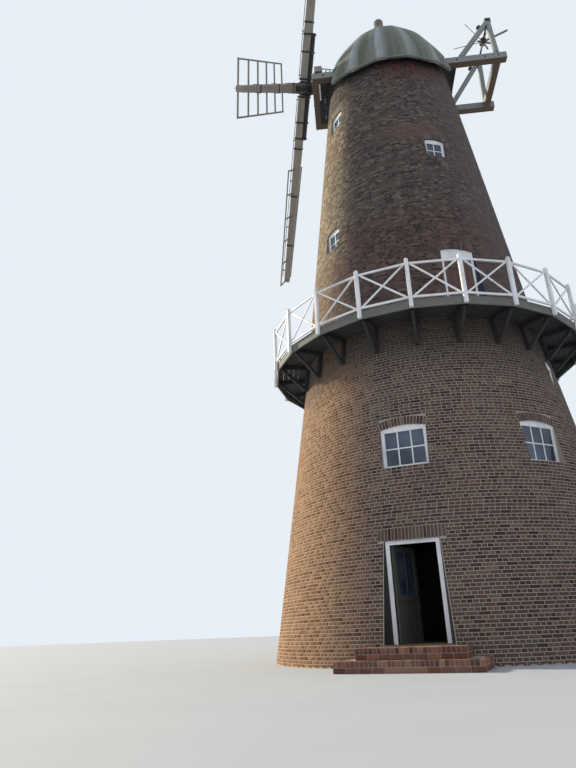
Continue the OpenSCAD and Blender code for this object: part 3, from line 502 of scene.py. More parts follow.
def domeFinish():
    f = Finish("domeCover", Roughness=0.8)
    g = f.grain()
    y = f.part(g, 1)
    turn = y.math("ARCTAN2", y, f.part(g, 0)) * (capSet["gores"] / 2 / pi) - 0.5
    turn = y.math("FRACT", turn)  # 0 to 1 across each gore
    streak = f.noise(f.stretch(g, 3.4, 3.4, 0.22), 1.0, 5, 0.62)
    fine, blotch = f.noise(f.stretch(g, 14, 14, 0.6), 1.0, 4, 0.6), f.noise(g, 2.2, 4, 0.6)
    wide = f.noise(f.stretch(g, 0.9, 0.9, 0.1), 1.0, 2)
    # pale at the gore edges and darker mid-gore: painted highlights on the ridges and painted shade between
    color = f.ramp(turn + (fine - 0.5) * 0.30, (0.0, (152, 160, 166)), (0.18, (128, 135, 138)),
                   (0.40, (86, 90, 80)), (0.66, (102, 108, 104)), (0.88, (112, 118, 115)),
                   (1.0, (146, 154, 158)))
    color = f.blend(f.spread(wide, 0.44, 0.62) * 0.5, color, (98, 103, 100))
    valley = f.spread(turn, 0.15, 0.4) * f.spread(turn, 0.95, 0.75)
    color = f.blend(f.spread(streak, 0.48, 0.64) * valley * 0.8, color, (78, 76, 58))
    color = f.blend(f.spread(blotch, 0.56, 0.76) * 0.45, color, (86, 78, 68))
    color = f.blend(f.spread(f.part(g, 2) + (streak - 0.5) * 1.4, 2.6, 3.7) * 0.7, color, (72, 78, 76))
    return f.close(color, 0.62 + blotch * 0.3, fine + f.noise(g, 40, 3) * 0.4, 0.002)


def shadedStepFinish():
    f = Finish("stepBrickPaintedShade", Roughness=0.85)
    p, tone = f.place(), f.tone()
    dirt = f.noise(p, 3.5, 4, 0.6)
    # the clay ramp is darkened for the shade the steps stand in: painted shade
    color = f.ramp(tone, (0.0, (74, 46, 41)), (0.35, (102, 64, 53)), (0.7, (122, 79, 64)),
                   (0.95, (142, 108, 88)))
    color = f.blend(f.spread(dirt, 0.5, 0.75) * 0.6, color, (126, 112, 100))
    return f.close(color, 0.75 + dirt * 0.2, f.noise(p, 60, 4, 0.7), 0.003)


brick, mortar = brickFinish(), mortarFinish()
sailWood = timberFinish("sailTimber", (166, 161, 154), (120, 115, 109))
# brown undersides of the grey timbers: painted warm bounce light, partly bare wood
greyWood = timberFinish("greyPaintedTimber", (150, 154, 156), (116, 120, 123), ((112, 92, 74), (80, 66, 54)))
darkWood = timberFinish("tarredTimber", (52, 54, 58), (28, 29, 33))
deckWood = timberFinish("deckBoards", (72, 72, 76), (43, 43, 47))
fasciaWood = timberFinish("fasciaPaint", (122, 124, 120), (92, 94, 92), worn=0.5)
floorWood = timberFinish("floorBoards", (120, 100, 78), (84, 68, 52), plain=True)
beamWood = timberFinish("capBeam", (120, 104, 82), (80, 66, 50), plain=True)
leafWood = timberFinish("stageDoorPaint", (112, 82, 80), (78, 56, 56), worn=0.4)
whitePaint = paintFinish("whiteJoinery", (236, 239, 247), (176, 175, 174))
whiteWood = paintFinish("railPaint", (234, 236, 243), (164, 163, 162), 0.55, 0.65)
doorPaint = paintFinish("doorPaint", (82, 84, 78), (56, 58, 54), 0.5, 0.5)
blackPaint = paintFinish("blackReveal", (30, 31, 34), (48, 48, 50), 0.6, 0.5)
navyPaint = paintFinish("navyReveal", (30, 36, 58), (46, 50, 66), 0.6, 0.5)
iron = ironFinish("blackIron", (28, 29, 32), (66, 50, 41))
rackIron = ironFinish("rackIron", (34, 46, 42), (60, 58, 44))
glass = glassFinish("windowGlass", (32, 40, 64), (78, 92, 112))
dome, stepBrickPaintedShade = domeFinish(), shadedStepFinish()
finialWood = paintFinish("finialCover", (124, 120, 118), (94, 89, 82), 0.7, 0.8)
# near-black boards: painted shade of the cap's underside seen from below
capFloorShadeWood = timberFinish("capFloorBoardsPaintedShade", (38, 42, 46), (26, 29, 33))
rimCover = timberFinish("domeRim", (126, 132, 128), (96, 102, 98), worn=0.5)
print("finishes made")

# brickwork: every brick stands a little proud of the mortar face of its wall
brickSet = dict(course=0.075, joint=0.013, stretcher=0.240, header=0.120, proud=0.001, sunk=0.001, soft=0.001,
                archDepth=0.225, archBrick=0.078, archJoint=0.006, plainCourses=7.9, seam=165)
windowSet = dict(wide=(1.05, 1.00), small=(0.62, 0.72), sill=0.80, rise=0.07, inset=0.05, frameW=0.06,
                 frameD=0.08)
windowList = [(-90, 3.25, "wide"), (-42, 3.25, "wide"), (-16, 5.5, "small"), (-126.4, 10.375, "small"),
              (-54.3, 12.775, "small"), (-130.4, 15.4, "small")]  # direction, floor level, size
windowList += [(a + 180, z, size) for a, z, size in windowList]
stageDoorSet = dict(directions=(-57, 123), width=0.90, height=2.15, head=0.33, splay=33, boards=5,
                    groove=0.006, ledges=(0.22, 1.0, 1.62), ledgeH=0.12, straps=(0.30, 1.55), strapL=0.46,
                    strapH=0.036, strapBolts=(-0.32, -0.18, -0.04, 0.06), knob=(0.31, 1.0))
groundDoorSet = dict(width=1.15, splay=20, extraInset=0.03, lintelEnd=0.12)
wallStretches = [("front_right_wall", -90, -45), ("right_wall", -45, 10), ("back_right_wall", 10, 45),
                 ("back_wall", 45, 108), ("back_left_wall", 108, 135), ("left_wall", 135, 180),
                 ("front_left_wall", 180, 225), ("door_left_wall", 225, 270)]  # first and last direction

# every opening: direction, width, foot, height and splay
openings = [(a, windowSet[size][0], z + windowSet["sill"], windowSet[size][1], None)
            for a, z, size in windowList]
openings += [(a, stageDoorSet["width"], stageSet["topZ"], stageDoorSet["height"], stageDoorSet["splay"])
             for a in stageDoorSet["directions"]]
doorFace = outerR(tower["doorTopZ"]) - windowSet["inset"] - groundDoorSet["extraInset"]


def headFace(z, h):
    return outerR(z + h) - windowSet["inset"]


def archOf(w, z, h):
    rise = windowSet["rise"]
    radius = (w * w / 4 + rise * rise) / (2 * rise)
    return radius, z + h - radius, asin(w / 2 / radius)


# an arch is as deep as takes its top to the next bed joint
def archDepthOf(crown):
    return round((crown + brickSet["archDepth"]) / brickSet["course"]) * brickSet["course"] - crown


def openHalf(opening, z):
    direction, w, foot, h, splay = opening
    radius, centreZ, half = archOf(w, foot, h)
    outer = radius + archDepthOf(foot + h)
    if z < foot or z > centreZ + outer:
        return 0
    if z < foot + h - windowSet["rise"]:
        return w / 2 + (0 if splay is None else (outerR(z) - headFace(foot, h)) * tan(rad(splay)))
    if z < centreZ + outer * cos(half):
        return (z - centreZ) * tan(half)
    return sqrt(max(0, outer * outer - (z - centreZ) ** 2))


def doorHalf(z):
    g, top = groundDoorSet, tower["doorTopZ"]
    if z >= top + archDepthOf(top):
        return 0
    splayed = (outerR(min(z, top)) - doorFace) * tan(rad(g["splay"]))
    return g["width"] / 2 + splayed + g["lintelEnd"] * (z >= top)


# the parts of the round that openings take from one course
def shutArcs(low, high):
    levels = [low + 0.004, (low + high) / 2, high - 0.004]
    halves = [(o[0], max(openHalf(o, z) for z in levels)) for o in openings]
    halves.append((-90, max(doorHalf(z) for z in levels)))
    return [(rad(a), asin(half / outerR(low))) for a, half in halves if half]


def layCourse(index, low, high, dice):
    b, r = brickSet, outerR((low + high) / 2)
    headers = index % 2 == 1 if low < b["plainCourses"] else index % 4 != 0
    pitch = b["header"] if headers else b["stretcher"]
    arcs = sorted(((a - h) % (2 * pi), 2 * h) for a, h in shutArcs(low, high))
    free = []
    if not arcs:
        seam = rad(b["seam"]) + dice.uniform(0, pitch) / r
        free.append((seam, seam + 2 * pi))
    for k, (start, width) in enumerate(arcs):
        nextStart = arcs[(k + 1) % len(arcs)][0] + (2 * pi if k == len(arcs) - 1 else 0)
        if nextStart > start + width:
            free.append((start + width, nextStart))
    bricks = []
    for start, end in free:
        length = (end - start) * r
        closer = pitch / 2 if index % 2 or not headers and index % 4 == 2 else pitch  # at both ends
        inner = length - 2 * closer
        if inner < pitch * 0.5:
            count = max(1, round(length / pitch))
            edges = [length * k / count for k in range(count + 1)]
        else:
            count = max(1, round(inner / pitch))
            edges = [0] + [closer + inner * k / count for k in range(count + 1)] + [length]
        z0, z1 = low + b["joint"] / 2, high - b["joint"] / 2
        for k in range(len(edges) - 1):
            wobble = dice.uniform(-0.0015, 0.0015)
            a0 = start + (edges[k] + b["joint"] / 2 * (k > 0)) / r
            a1 = start + (edges[k + 1] - b["joint"] / 2 * (k < len(edges) - 2) + wobble) / r
            bricks.append(((a0, a1, a1, a0), (z0, z0, z1, z1)))
    return bricks


def archBricks(direction, w, foot, h):
    b, (radius, centreZ, half) = brickSet, archOf(w, foot, h)
    depth = archDepthOf(foot + h)
    count = max(3, round(2 * half * (radius + depth / 2) / b["archBrick"]) | 1)
    gap, outer = b["joint"] / 2 / radius, radius + depth - b["archJoint"]
    bricks = []
    for k in range(count):
        t0, t1 = -half + 2 * half * k / count + gap, -half + 2 * half * (k + 1) / count - gap
        flat = [(r * sin(t), centreZ + r * cos(t))
                for r, t in ((radius, t0), (radius, t1), (outer, t1), (outer, t0))]
        angles = tuple(rad(direction) + asin(x / outerR(z)) for x, z in flat)
        bricks.append((angles, tuple(z for x, z in flat)))
    return bricks


# bricks on end over the ground door
def soldierBricks():
    b, top = brickSet, tower["doorTopZ"]
    half, r = doorHalf(top + 0.01), outerR(top)
    low, high = top + b["archJoint"], top + archDepthOf(top) - b["joint"] / 2
    count, bricks = round(2 * half / b["archBrick"]), []
    for k in range(count):
        a0 = rad(-90) + asin((-half + 2 * half * k / count + 0.005) / r)
        a1 = rad(-90) + asin((-half + 2 * half * (k + 1) / count - 0.005) / r)
        bricks.append(((a0, a1, a1, a0), (low, low, high, high)))
    return bricks


# each brick is five faces: a front with softened edges and four sides that sink into the mortar
def brickPiece(name, bricks, dice):
    b, count, wallR = brickSet, len(bricks), np.vectorize(outerR)
    angle, z = np.array([k[0] for k in bricks]), np.array([k[1] for k in bricks])
    midA, midZ, heightR = angle.mean(1, keepdims=True), z.mean(1, keepdims=True), wallR(z)
    spanA = np.maximum(np.abs(angle - midA) * heightR, 0.01)
    spanZ = np.maximum(np.abs(z - midZ), 0.01)
    softA = midA + (angle - midA) * (1 - b["soft"] / spanA)
    softZ = midZ + (z - midZ) * (1 - b["soft"] / spanZ)
    uneven = np.array([dice.uniform(-0.0003, 0.0002) for k in range(count)])[:, None]
    faceR = wallR(softZ) + b["proud"] + spanA ** 2 / 2 / heightR + uneven
    faceR = np.minimum(faceR, tower["footR"] - 0.0006)
    points = np.empty((count, 8, 3), np.float32)
    for first, r, a, level in ((0, faceR, softA, softZ), (4, heightR - b["sunk"], angle, z)):
        points[:, first:first + 4] = np.stack((r * np.cos(a), r * np.sin(a), level), 2)
    quads = np.array([(0, 1, 2, 3), (4, 5, 1, 0), (5, 6, 2, 1), (6, 7, 3, 2), (7, 4, 0, 3)])
    faces = (quads[None] + 8 * np.arange(count)[:, None, None]).reshape(-1, 4)
    mesh = bpy.data.meshes.new(name)
    mesh.vertices.add(count * 8)
    mesh.vertices.foreach_set("co", points.ravel())
    mesh.loops.add(len(faces) * 4)
    mesh.loops.foreach_set("vertex_index", faces.ravel())
    mesh.polygons.add(len(faces))
    mesh.polygons.foreach_set("loop_start", np.arange(0, len(faces) * 4, 4))
    mesh.update(calc_edges=True)
    addLayer(mesh, "tone", np.repeat([dice.random() for k in range(count)], 8))
    mesh.materials.append(brick.material)
    settle(addObject(name, mesh), "tower")


def addBrickwork():
    dice, laid, course = random.Random(41), [], brickSet["course"]
    for k in range(int(tower["height"] / course) + 1):
        laid += layCourse(k, k * course, min(k * course + course, tower["height"]), dice)
    for direction, w, foot, h, splay in openings:
        laid += archBricks(direction, w, foot, h)
    laid += soldierBricks()
    parts = {name: [] for name, first, last in wallStretches}
    for angles, levels in laid:
        middle = degrees(sum(angles) / 4)
        name = next((name for name, first, last in wallStretches
                     if (middle - first) % 360 < last - first), None)
        if name:
            parts[name].append((angles, levels))
    for name, bricks in parts.items():
        brickPiece("bricks_" + name, bricks, dice)
    return len(laid)


print("bricks laid:", addBrickwork())
dress(mortar, "over_door_wall", *[name for name, first, last in wallStretches])
dress(floorWood, "upper_floors", "ground_floor")
dress(rackIron, "curb")
dress(beamWood, "cap_ring", "sprattle_beam")
dress(iron, "windshaft", "shutter_rods", "door_ironwork", "door_pintles")
dress(glass, "window_panes", "door_pane")
dress(whitePaint, "door_frame", "window_frames")
print("plain nodes dressed")

# window bars, beads, head boards and sill strips
barSet = dict(barW=0.030, barD=0.036, barEdge=0.006, bead=0.018, beadD=0.024, beadOut=0.02, beadEdge=0.005,
              headDrop=0.055, headT=0.045, headIn=0.01, headSteps=12, lap=0.002,
              sillD=0.062, sillH=0.026, sillIn=0.011, sillUp=0.014, sillGap=0.004)


def addWindows():
    form, b, s = Form(), barSet, windowSet
    for direction, level, size in windowList:
        w, h = s[size]
        foot, turn = level + s["sill"], facing(direction)
        face, low, inner = headFace(foot, h), foot + s["frameW"], w / 2 - s["frameW"]
        middle, spring = face - s["frameD"] / 2, foot + h - s["rise"] - b["headDrop"]
        radius, centreZ, half = archOf(w, foot, h)
        ys = [-inner + 2 * inner * k / b["headSteps"] for k in range(b["headSteps"] + 1)]
        arch = [(y, centreZ + sqrt((radius - s["frameW"] + b["lap"]) ** 2 - y * y)) for y in ys]
        outline = [(-inner - b["lap"], spring), *arch, (inner + b["lap"], spring)][::-1]
        back = middle - b["headIn"]
        form.slab(*[[turn @ Vector((x, y, z)) for y, z in outline] for x in (back, back + b["headT"])])
        for y in [0] if size == "small" else [-inner / 3, inner / 3]:
            form.bar(turn, (middle, y, low), upward, spring - low, b["barD"], b["barW"], b["barEdge"], across)
        form.bar(turn, (middle, -inner, (low + spring) / 2), across, 2 * inner, b["barD"], b["barW"],
                 b["barEdge"])
        out = middle + b["beadOut"]
        for side in (-1, 1):
            form.bar(turn, (out, side * (inner - b["bead"] / 2), low), upward, spring - low, b["beadD"],
                     b["bead"], b["beadEdge"], across)
        for z in (low + b["bead"] / 2, spring - b["bead"] / 2):
            form.bar(turn, (out, -inner, z), across, 2 * inner, b["beadD"], b["bead"], b["beadEdge"])
        form.bar(turn, (face - b["sillIn"], -w / 2 + b["sillGap"], foot + b["sillUp"]), across,
                 w - 2 * b["sillGap"], b["sillD"], b["sillH"], 0.006)
    form.finish("window_bars", [whitePaint], "tower", "white_joinery")


addWindows()


# painted reveals of all the doors, and the boarded leaves of the doors on the stage
def splayOuter(face, half, splay, z):
    x = face
    for k in range(12):
        y = half + (x - face) * tan(rad(splay))
        x = sqrt(max(face * face, outerR(z) ** 2 - y * y))
    return x, half + (x - face) * tan(rad(splay))


def addReveals():
    form, g, s, foot, skin = Form(), groundDoorSet, stageDoorSet, stageSet["topZ"], 0.002
    places = [(-90, doorFace, g["width"] / 2, g["splay"], 0.0, tower["doorTopZ"])]
    places += [(a, headFace(foot, s["height"]), s["width"] / 2, s["splay"], foot,
                foot + s["height"] - windowSet["rise"] - 0.012) for a in s["directions"]]
    for direction, face, half, splay, low, high in places:
        turn, index = facing(direction), int(low > 0)
        for side in (-1, 1):
            (x0, y0), (x1, y1) = [splayOuter(face, half, splay, z) for z in (low + skin, high - skin)]
            corners = [(face + 0.001, half, low + skin), (x0 - 0.003, y0, low + skin),
                       (x1 - 0.003, y1, high - skin), (face + 0.001, half, high - skin)]
            form.slab(*[[turn @ Vector((x, side * (y - inset), z)) for x, y, z in corners]
                        for inset in (0, skin)], 0.5, index)
        if index == 0:
            x, y = splayOuter(face, half, splay, high)
            top = [(face + 0.001, -half), (x - 0.004, -y), (x - 0.004, y), (face + 0.001, half)]
            form.slab(*[[turn @ Vector((x, y, high - drop)) for x, y in top]
                        for drop in (2 * skin, skin)], 0.5, index)
    form.finish("door_reveals", [blackPaint, navyPaint], "tower", "brick")


def addStageDoors():
    form, irons, s, foot = Form(), Form(), stageDoorSet, stageSet["topZ"]
    middle = headFace(foot, s["height"]) - windowSet["frameD"] / 2
    wide, tall = s["width"] - 2 * windowSet["frameW"] - 0.004, s["height"] - s["head"] - 0.003
    board, gap, out = wide / s["boards"], s["groove"] / 4, middle + 0.025
    turns = [facing(a) for a in s["directions"]]
    for turn in turns:
        for k in range(s["boards"]):
            place = along((middle, -wide / 2 + board * k + board / 2, foot + 0.002), upward, outward)
            form.timber(turn @ place, (0, -board / 2 + gap, -0.010), (tall, board / 2 - gap, 0.025),
                        s["groove"])
        for z in s["ledges"]:
            form.bar(turn, (middle - 0.0175, -wide / 2 + 0.02, foot + z), across, wide - 0.04, 0.016,
                     s["ledgeH"])
    form.finish("stage_door_boards", [leafWood], "tower", "brown_boards", instead="stage_door_leaves")
    for turn in turns:
        for z in s["straps"]:
            irons.bar(turn, (out + 0.003, -0.37, foot + z), across, s["strapL"], 0.006, s["strapH"], 0.002)
            for y in s["strapBolts"]:
                irons.bolt(turn, (out + 0.006, y, foot + z), outward, 0.007, 0.006)
        y, z = s["knob"]
        knob = Matrix.Translation((out, y, foot + z)) @ Matrix.Rotation(rad(90), 4, "Y")
        irons.turned(turn @ knob, [(0.03, 0), (0.03, 0.005), (0.012, 0.008), (0.012, 0.03), (0.026, 0.036),
                                   (0.026, 0.052), (0.012, 0.058)], 20)
    irons.finish("stage_door_ironwork", [iron], "tower", "iron", 40)


addReveals()
addStageDoors()
print("windows and upper doors fitted")

# stage: boards laid along each side, fascia, brackets, posts and crossed railing
deckSet = dict(boards=6, gap=0.008, inner=3.4165, lift=0.002)
bracketSet = dict(width=0.09, bearer=0.12, strut=0.095, drop=0.80, clear=0.001)
railSet = dict(postH=1.35, postW=0.095, railT=0.04, railH=0.055, brace=0.042, drop=0.13, postIn=0.010)
halfTurn = pi / stageSet["bays"]
sideR = stageSet["cornerR"] * cos(halfTurn)
cornerTurns, sideTurns = [[facing(stageSet["firstCorner"] - degrees(2 * halfTurn) * (i + share))
                           for i in range(stageSet["bays"])] for share in (0, 0.5)]


def addDeck():
    form, s, d = Form(), stageSet, deckSet
    low, high = s["topZ"] - s["deckT"], s["topZ"]
    width = (sideR - s["fasciaT"] - 0.001 - d["inner"]) / d["boards"]
    for turn in sideTurns:
        for k in range(d["boards"]):
            x0, x1 = d["inner"] + width * k, d["inner"] + width * (k + 1) - d["gap"]
            y0, y1 = x0 * tan(halfTurn) - 0.002, x1 * tan(halfTurn) - 0.002
            outline = [(x0, -y0), (x0, y0)]
            if k == 0:  # the first board follows the round wall
                outline = [polar(outerR(low) + 0.002, halfTurn * (j / 4 * 1.98 - 0.99))[:2] for j in range(5)]
            outline += [(x1, y1), (x1, -y1)]
            lift, offset = random.uniform(-d["lift"], 0.0), random.random() * 30
            points = [(x, y, z + lift * (z == high)) for z in (low, high) for x, y in outline]
            placed = [turn @ Vector(p) for p in points]
            form.slab(placed[:len(outline)], placed[len(outline):],
                      grain=[(y + offset, x, z) for x, y, z in points])
    form.finish("deck_boards", [deckWood], "tower", "brown_boards", instead="stage_deck")


def addFascia():
    form, s = Form(), stageSet
    length = 2 * s["cornerR"] * sin(halfTurn) - 2 * s["fasciaT"] * tan(halfTurn) - 0.002
    for turn in sideTurns:
        form.bar(turn, (sideR - s["fasciaT"] / 2, -length / 2, tower["waistZ"] + s["fasciaH"] / 2), across,
                 length, s["fasciaT"], s["fasciaH"])
    form.finish("fascia_boards", [fasciaWood], "tower", "fascia_paint", instead="stage_fascia")


def addBrackets():
    form, irons, b = Form(), Form(), bracketSet
    w, t, s = b["width"], b["strut"], stageSet
    top, foot = s["topZ"] - s["deckT"] - b["clear"], s["topZ"] - b["drop"]
    low, footR = top - b["bearer"], outerR(foot)
    wall, reach = outerR(top) + b["clear"], sideR - s["fasciaT"] - b["clear"]
    start = Vector((footR + t + 0.01, 0, foot + t * 0.55))
    run = Vector((reach - t * 0.55, 0, low - 0.002)) - start
    for turn in cornerTurns:
        form.bar(turn, (wall, 0, top - b["bearer"] / 2), outward, reach - wall, w, b["bearer"], 0.006)
        form.bar(turn, (footR + t / 2 + b["clear"], 0, foot), (outerR(low) - footR, 0, low - foot),
                 low - foot + 0.004, w, t, 0.006, outward)
        form.timber(turn @ along(start, run), (-0.05, -w / 2 + 0.004, -t / 2),
                    (run.length - 0.01, w / 2 - 0.004, t / 2 - 0.006), 0.006)
        for side in (-1, 1):
            for x, z in ((reach - 0.09, top - 0.055), (wall + 0.06, top - 0.06), (footR + 0.05, foot + 0.07)):
                irons.bolt(turn, (x, side * w / 2, z), (0, side, 0), 0.016, 0.012)
    form.finish("bracket_timbers", [darkWood], "tower", "dark_timber", instead="stage_brackets")
    irons.finish("bracket_bolts", [iron], "tower", "iron", 40)


def addRailing():
    posts, rails, r, low = Form(), Form(), railSet, tower["waistZ"]
    w, cornerR = r["postW"], stageSet["cornerR"]
    midR, x0, x1 = cornerR - r["postIn"] + w / 2, cornerR + 0.002, cornerR - r["postIn"] + w
    for turn in cornerTurns:
        posts.bar(turn, ((x0 + x1) / 2, 0, low), upward, r["postH"] - w / 2, x1 - x0, w, 0.007, across)
        top = Matrix.Translation((midR, 0, low + r["postH"] - w / 2 - 0.004))
        posts.turned(turn @ top, [(w * 0.46, 0), (w * 0.50, 0.006), (w * 0.50, 0.014), (w * 0.42, 0.026),
                                  (w * 0.26, 0.040), (w * 0.10, 0.049)], 16)
    posts.finish("rail_posts", [whiteWood], "tower", "white_joinery", instead="stage_posts")

    bay, x = 2 * midR * sin(halfTurn), midR * cos(halfTurn)
    half = bay / 2 - w / 2 - 0.0015
    z0, z1 = low + stageSet["fasciaH"] + 0.02 + r["railH"], low + r["postH"] - r["drop"] - r["railH"]
    lean = atan2(z1 - z0, bay - 2 * w)
    for turn in sideTurns:
        for z in (z0 - r["railH"] / 2, z1 + r["railH"] / 2):
            rails.bar(turn, (x, -half, z), across, 2 * half, r["railT"], r["railH"], 0.005)
        for side in (-1, 1):
            dy, dz = cos(lean) * side, sin(lean)
            reach = min((z1 - z0 + 0.03) / 2 / dz, (half - 0.004) / abs(dy))
            start = (x + side * 0.0005, -dy * reach, (z0 + z1) / 2 - dz * reach)
            rails.bar(turn, start, (0, dy, dz), 2 * reach, r["brace"], r["railT"] - 0.008, 0.004, outward)
        rails.bolt(turn, (x + r["railT"] / 2 - 0.003, 0, (z0 + z1) / 2), outward, 0.009, 0.008)
    rails.finish("rail_bays", [whiteWood], "tower", "white_joinery", instead="stage_panels")


addDeck()
addFascia()
addBrackets()
addRailing()
print("stage built")

# cap: gored dome open over the sheers, its rim, the finial and the hole for the windshaft
domeSet = dict(rows=30, perGore=6, bulge=0.15, crown=0.965, curve=(1.68, 0.787), sag=0.06, grainR=2.4,
               hole=0.06, rimH=0.055, rimT=0.012, rimSteps=44, finial=0.83)
capPlace = facing(capSet["yaw"])
shaftPlace = capPlace @ Matrix.Translation((-shaftSet["front"], 0, shaftSet["height"])) @ Matrix.Rotation(
    rad(shaftSet["tilt"] - 90), 4, "Y")
crownZ = capSet["rimZ"] + capSet["domeH"] * domeSet["crown"] - domeSet["sag"]


def domeReach(u):
    return (1 - u ** domeSet["curve"][0]) ** domeSet["curve"][1]


# the share of the round radius at one turn: each gore is flatter than the round
def domeRadius(turn):
    step, bulge = 2 * pi / capSet["gores"], domeSet["bulge"]
    return bulge + (1 - bulge) * cos(step / 2) / cos((turn + step / 2) % step - step / 2)


def skirtZ(x):
    return capSet["rimZ"] + max(0, x - capSet["skirtL"] / 2) * tan(rad(capSet["skirtSlope"]))


def cutter(low, high, place):
    mesh = bpy.data.meshes.new("cutter")
    mesh.from_pydata([place @ Vector(p) for p in low + high], [], tubeFaces(2, len(low)))
    turnOutward(mesh)
    return addObject("cutter", mesh)


def subtract(piece, cutters):
    for tool in cutters:
        change = piece.modifiers.new("cut", "BOOLEAN")
        change.operation, change.solver, change.object = "DIFFERENCE", "EXACT", tool
        with bpy.context.temp_override(object=piece, active_object=piece, selected_objects=[piece]):
            bpy.ops.object.modifier_apply(modifier=change.name)
        bpy.data.objects.remove(tool)


def addDome():
    c, d = capSet, domeSet
    levels = [d["crown"] * (k / d["rows"]) ** 0.85 for k in range(d["rows"])]
    outer = [(c["domeR"] * domeReach(u), c["rimZ"] + c["domeH"] * u - d["sag"] * u ** 4) for u in levels]
    inner = [(max(0.05, r - c["domeT"]), z - c["domeT"] * (z - c["rimZ"]) / c["domeH"]) for r, z in outer]
    outer.append((c["crownR"], crownZ))
    inner.append((c["crownR"] - c["domeT"], crownZ - c["domeT"]))
    around = c["gores"] * d["perGore"]
    turns, shift = [2 * pi * k / around for k in range(around)], len(outer) * around
    shell = tubeFaces(len(outer), around, closed=False)
    faces = shell + [tuple(shift + i for i in f[::-1]) for f in shell]
    faces += [(k, shift + k, shift + (k + 1) % around, (k + 1) % around) for k in range(around)]
    faces += [tuple(range(shift - around, shift)), tuple(range(2 * shift - around, 2 * shift))[::-1]]
    points = [polar(r * domeRadius(t), t, z) for r, z in outer + inner for t in turns]
    mesh = bpy.data.meshes.new("dome_cover")
    mesh.from_pydata([capPlace @ p for p in points], [], faces)
    piece = addObject("dome_cover", mesh)

    half, low, far = c["mouthW"] / 2, c["rimZ"] - 0.01, 2 * c["domeR"]
    mouth = [(-far, -half), (far, -half), (far, half), (-far, half)]
    skirt = [(c["skirtL"] / 2, low), (far, low), (far, skirtZ(far)), (c["skirtL"] / 2, c["rimZ"])]
    cuts = [cutter(*[[(x, y, z) for x, y in mouth] for z in (low, c["mouthTop"] + 0.0002)], capPlace)]
    for side in (-1, 1):
        cuts.append(cutter(*[[(side * x, y, z) for x, z in skirt] for y in (-far, far)], capPlace))
    holeR = shaftSet["radius"] + d["hole"]
    hole = [[polar(holeR, 2 * pi * k / 48, z) for k in range(48)] for z in (-1.8, -0.4)]
    subtract(piece, cuts + [cutter(*hole, shaftPlace)])

    mesh, back = piece.data, capPlace.inverted()
    places = [back @ v.co for v in mesh.vertices]
    addLayer(mesh, "grain", [polar(d["grainR"], atan2(p.y, p.x), p.z - c["rimZ"]) for p in places])
    mesh.materials.clear()
    mesh.materials.append(dome.material)
    smoothFaces(mesh, 24)
    settle(piece, "cap", "cap_dome")


def addRim():
    c, d = capSet, domeSet
    form, step = Form(), 2 * pi / c["gores"]
    corners = ((0.001, -0.002), (d["rimT"], 0), (d["rimT"], d["rimH"]), (0.001, d["rimH"] + 0.01))
    first = asin(c["mouthW"] / 2 / (c["domeR"] * 0.955)) + 0.004
    turns = [first + (pi - 2 * first) * k / d["rimSteps"] for k in range(d["rimSteps"] + 1)]
    turns += [step * (g + 0.5) for g in range(c["gores"]) if first < step * (g + 0.5) < pi - first]
    for side in (-1, 1):
        points, grain = [], []
        for turn in sorted(turns):
            wide = c["domeR"] * domeRadius(turn)
            low = skirtZ(abs(wide * cos(turn)))
            for out, rise in corners:
                w = wide * domeReach((max(c["rimZ"], low + rise) - c["rimZ"]) / c["domeH"]) + out
                points.append(capPlace @ polar(w, side * turn, low + rise))
                grain.append((d["grainR"] * turn, d["grainR"] * side, rise))
        form.add(points, tubeFaces(len(turns), len(corners)), grain, 0.1)
    form.finish("dome_rim", [rimCover], "cap", "dome_cover", 30)


def addFinial():
    form, tall = Form(), domeSet["finial"] + domeSet["sag"]
    outline = [(0.208, 0), (0.219, 0.010), (0.219, 0.05), (0.206, 0.062), (0.189, 0.085), (0.179, 0.11),
               (0.179, 0.30), (0.185, 0.308), (0.185, 0.332), (0.179, 0.34), (0.179, tall - 0.11)]
    outline += [(0.18 * cos(rad(a)), tall - 0.108 * (1 - sin(rad(a)))) for a in range(6, 90, 7)]
    form.turned(Matrix.Translation((0, 0, crownZ + 0.0003)), outline + [(0.010, tall)], 48)
    form.finish("finial_top", [finialWood], "cap", "finial_cover", 35, "cap_finial")


addDome()
addRim()
addFinial()
print("dome built")

# sheers, ties and the fan frames, each frame two legs that meet under the fan's axle
beamSet = dict(sheerY=1.077, sheerW=0.25, sheerLow=18.73, sheerTop=19.0, front=2.69, rear=4.03, tieW=0.22,
               tailX=3.74, bolts=(-2.3, -1.2, 2.35, 3.3, 3.75), fanY=0.83, legSpread=1.40, legW=0.15,
               lug=(3.45, 0.875, 20.60))


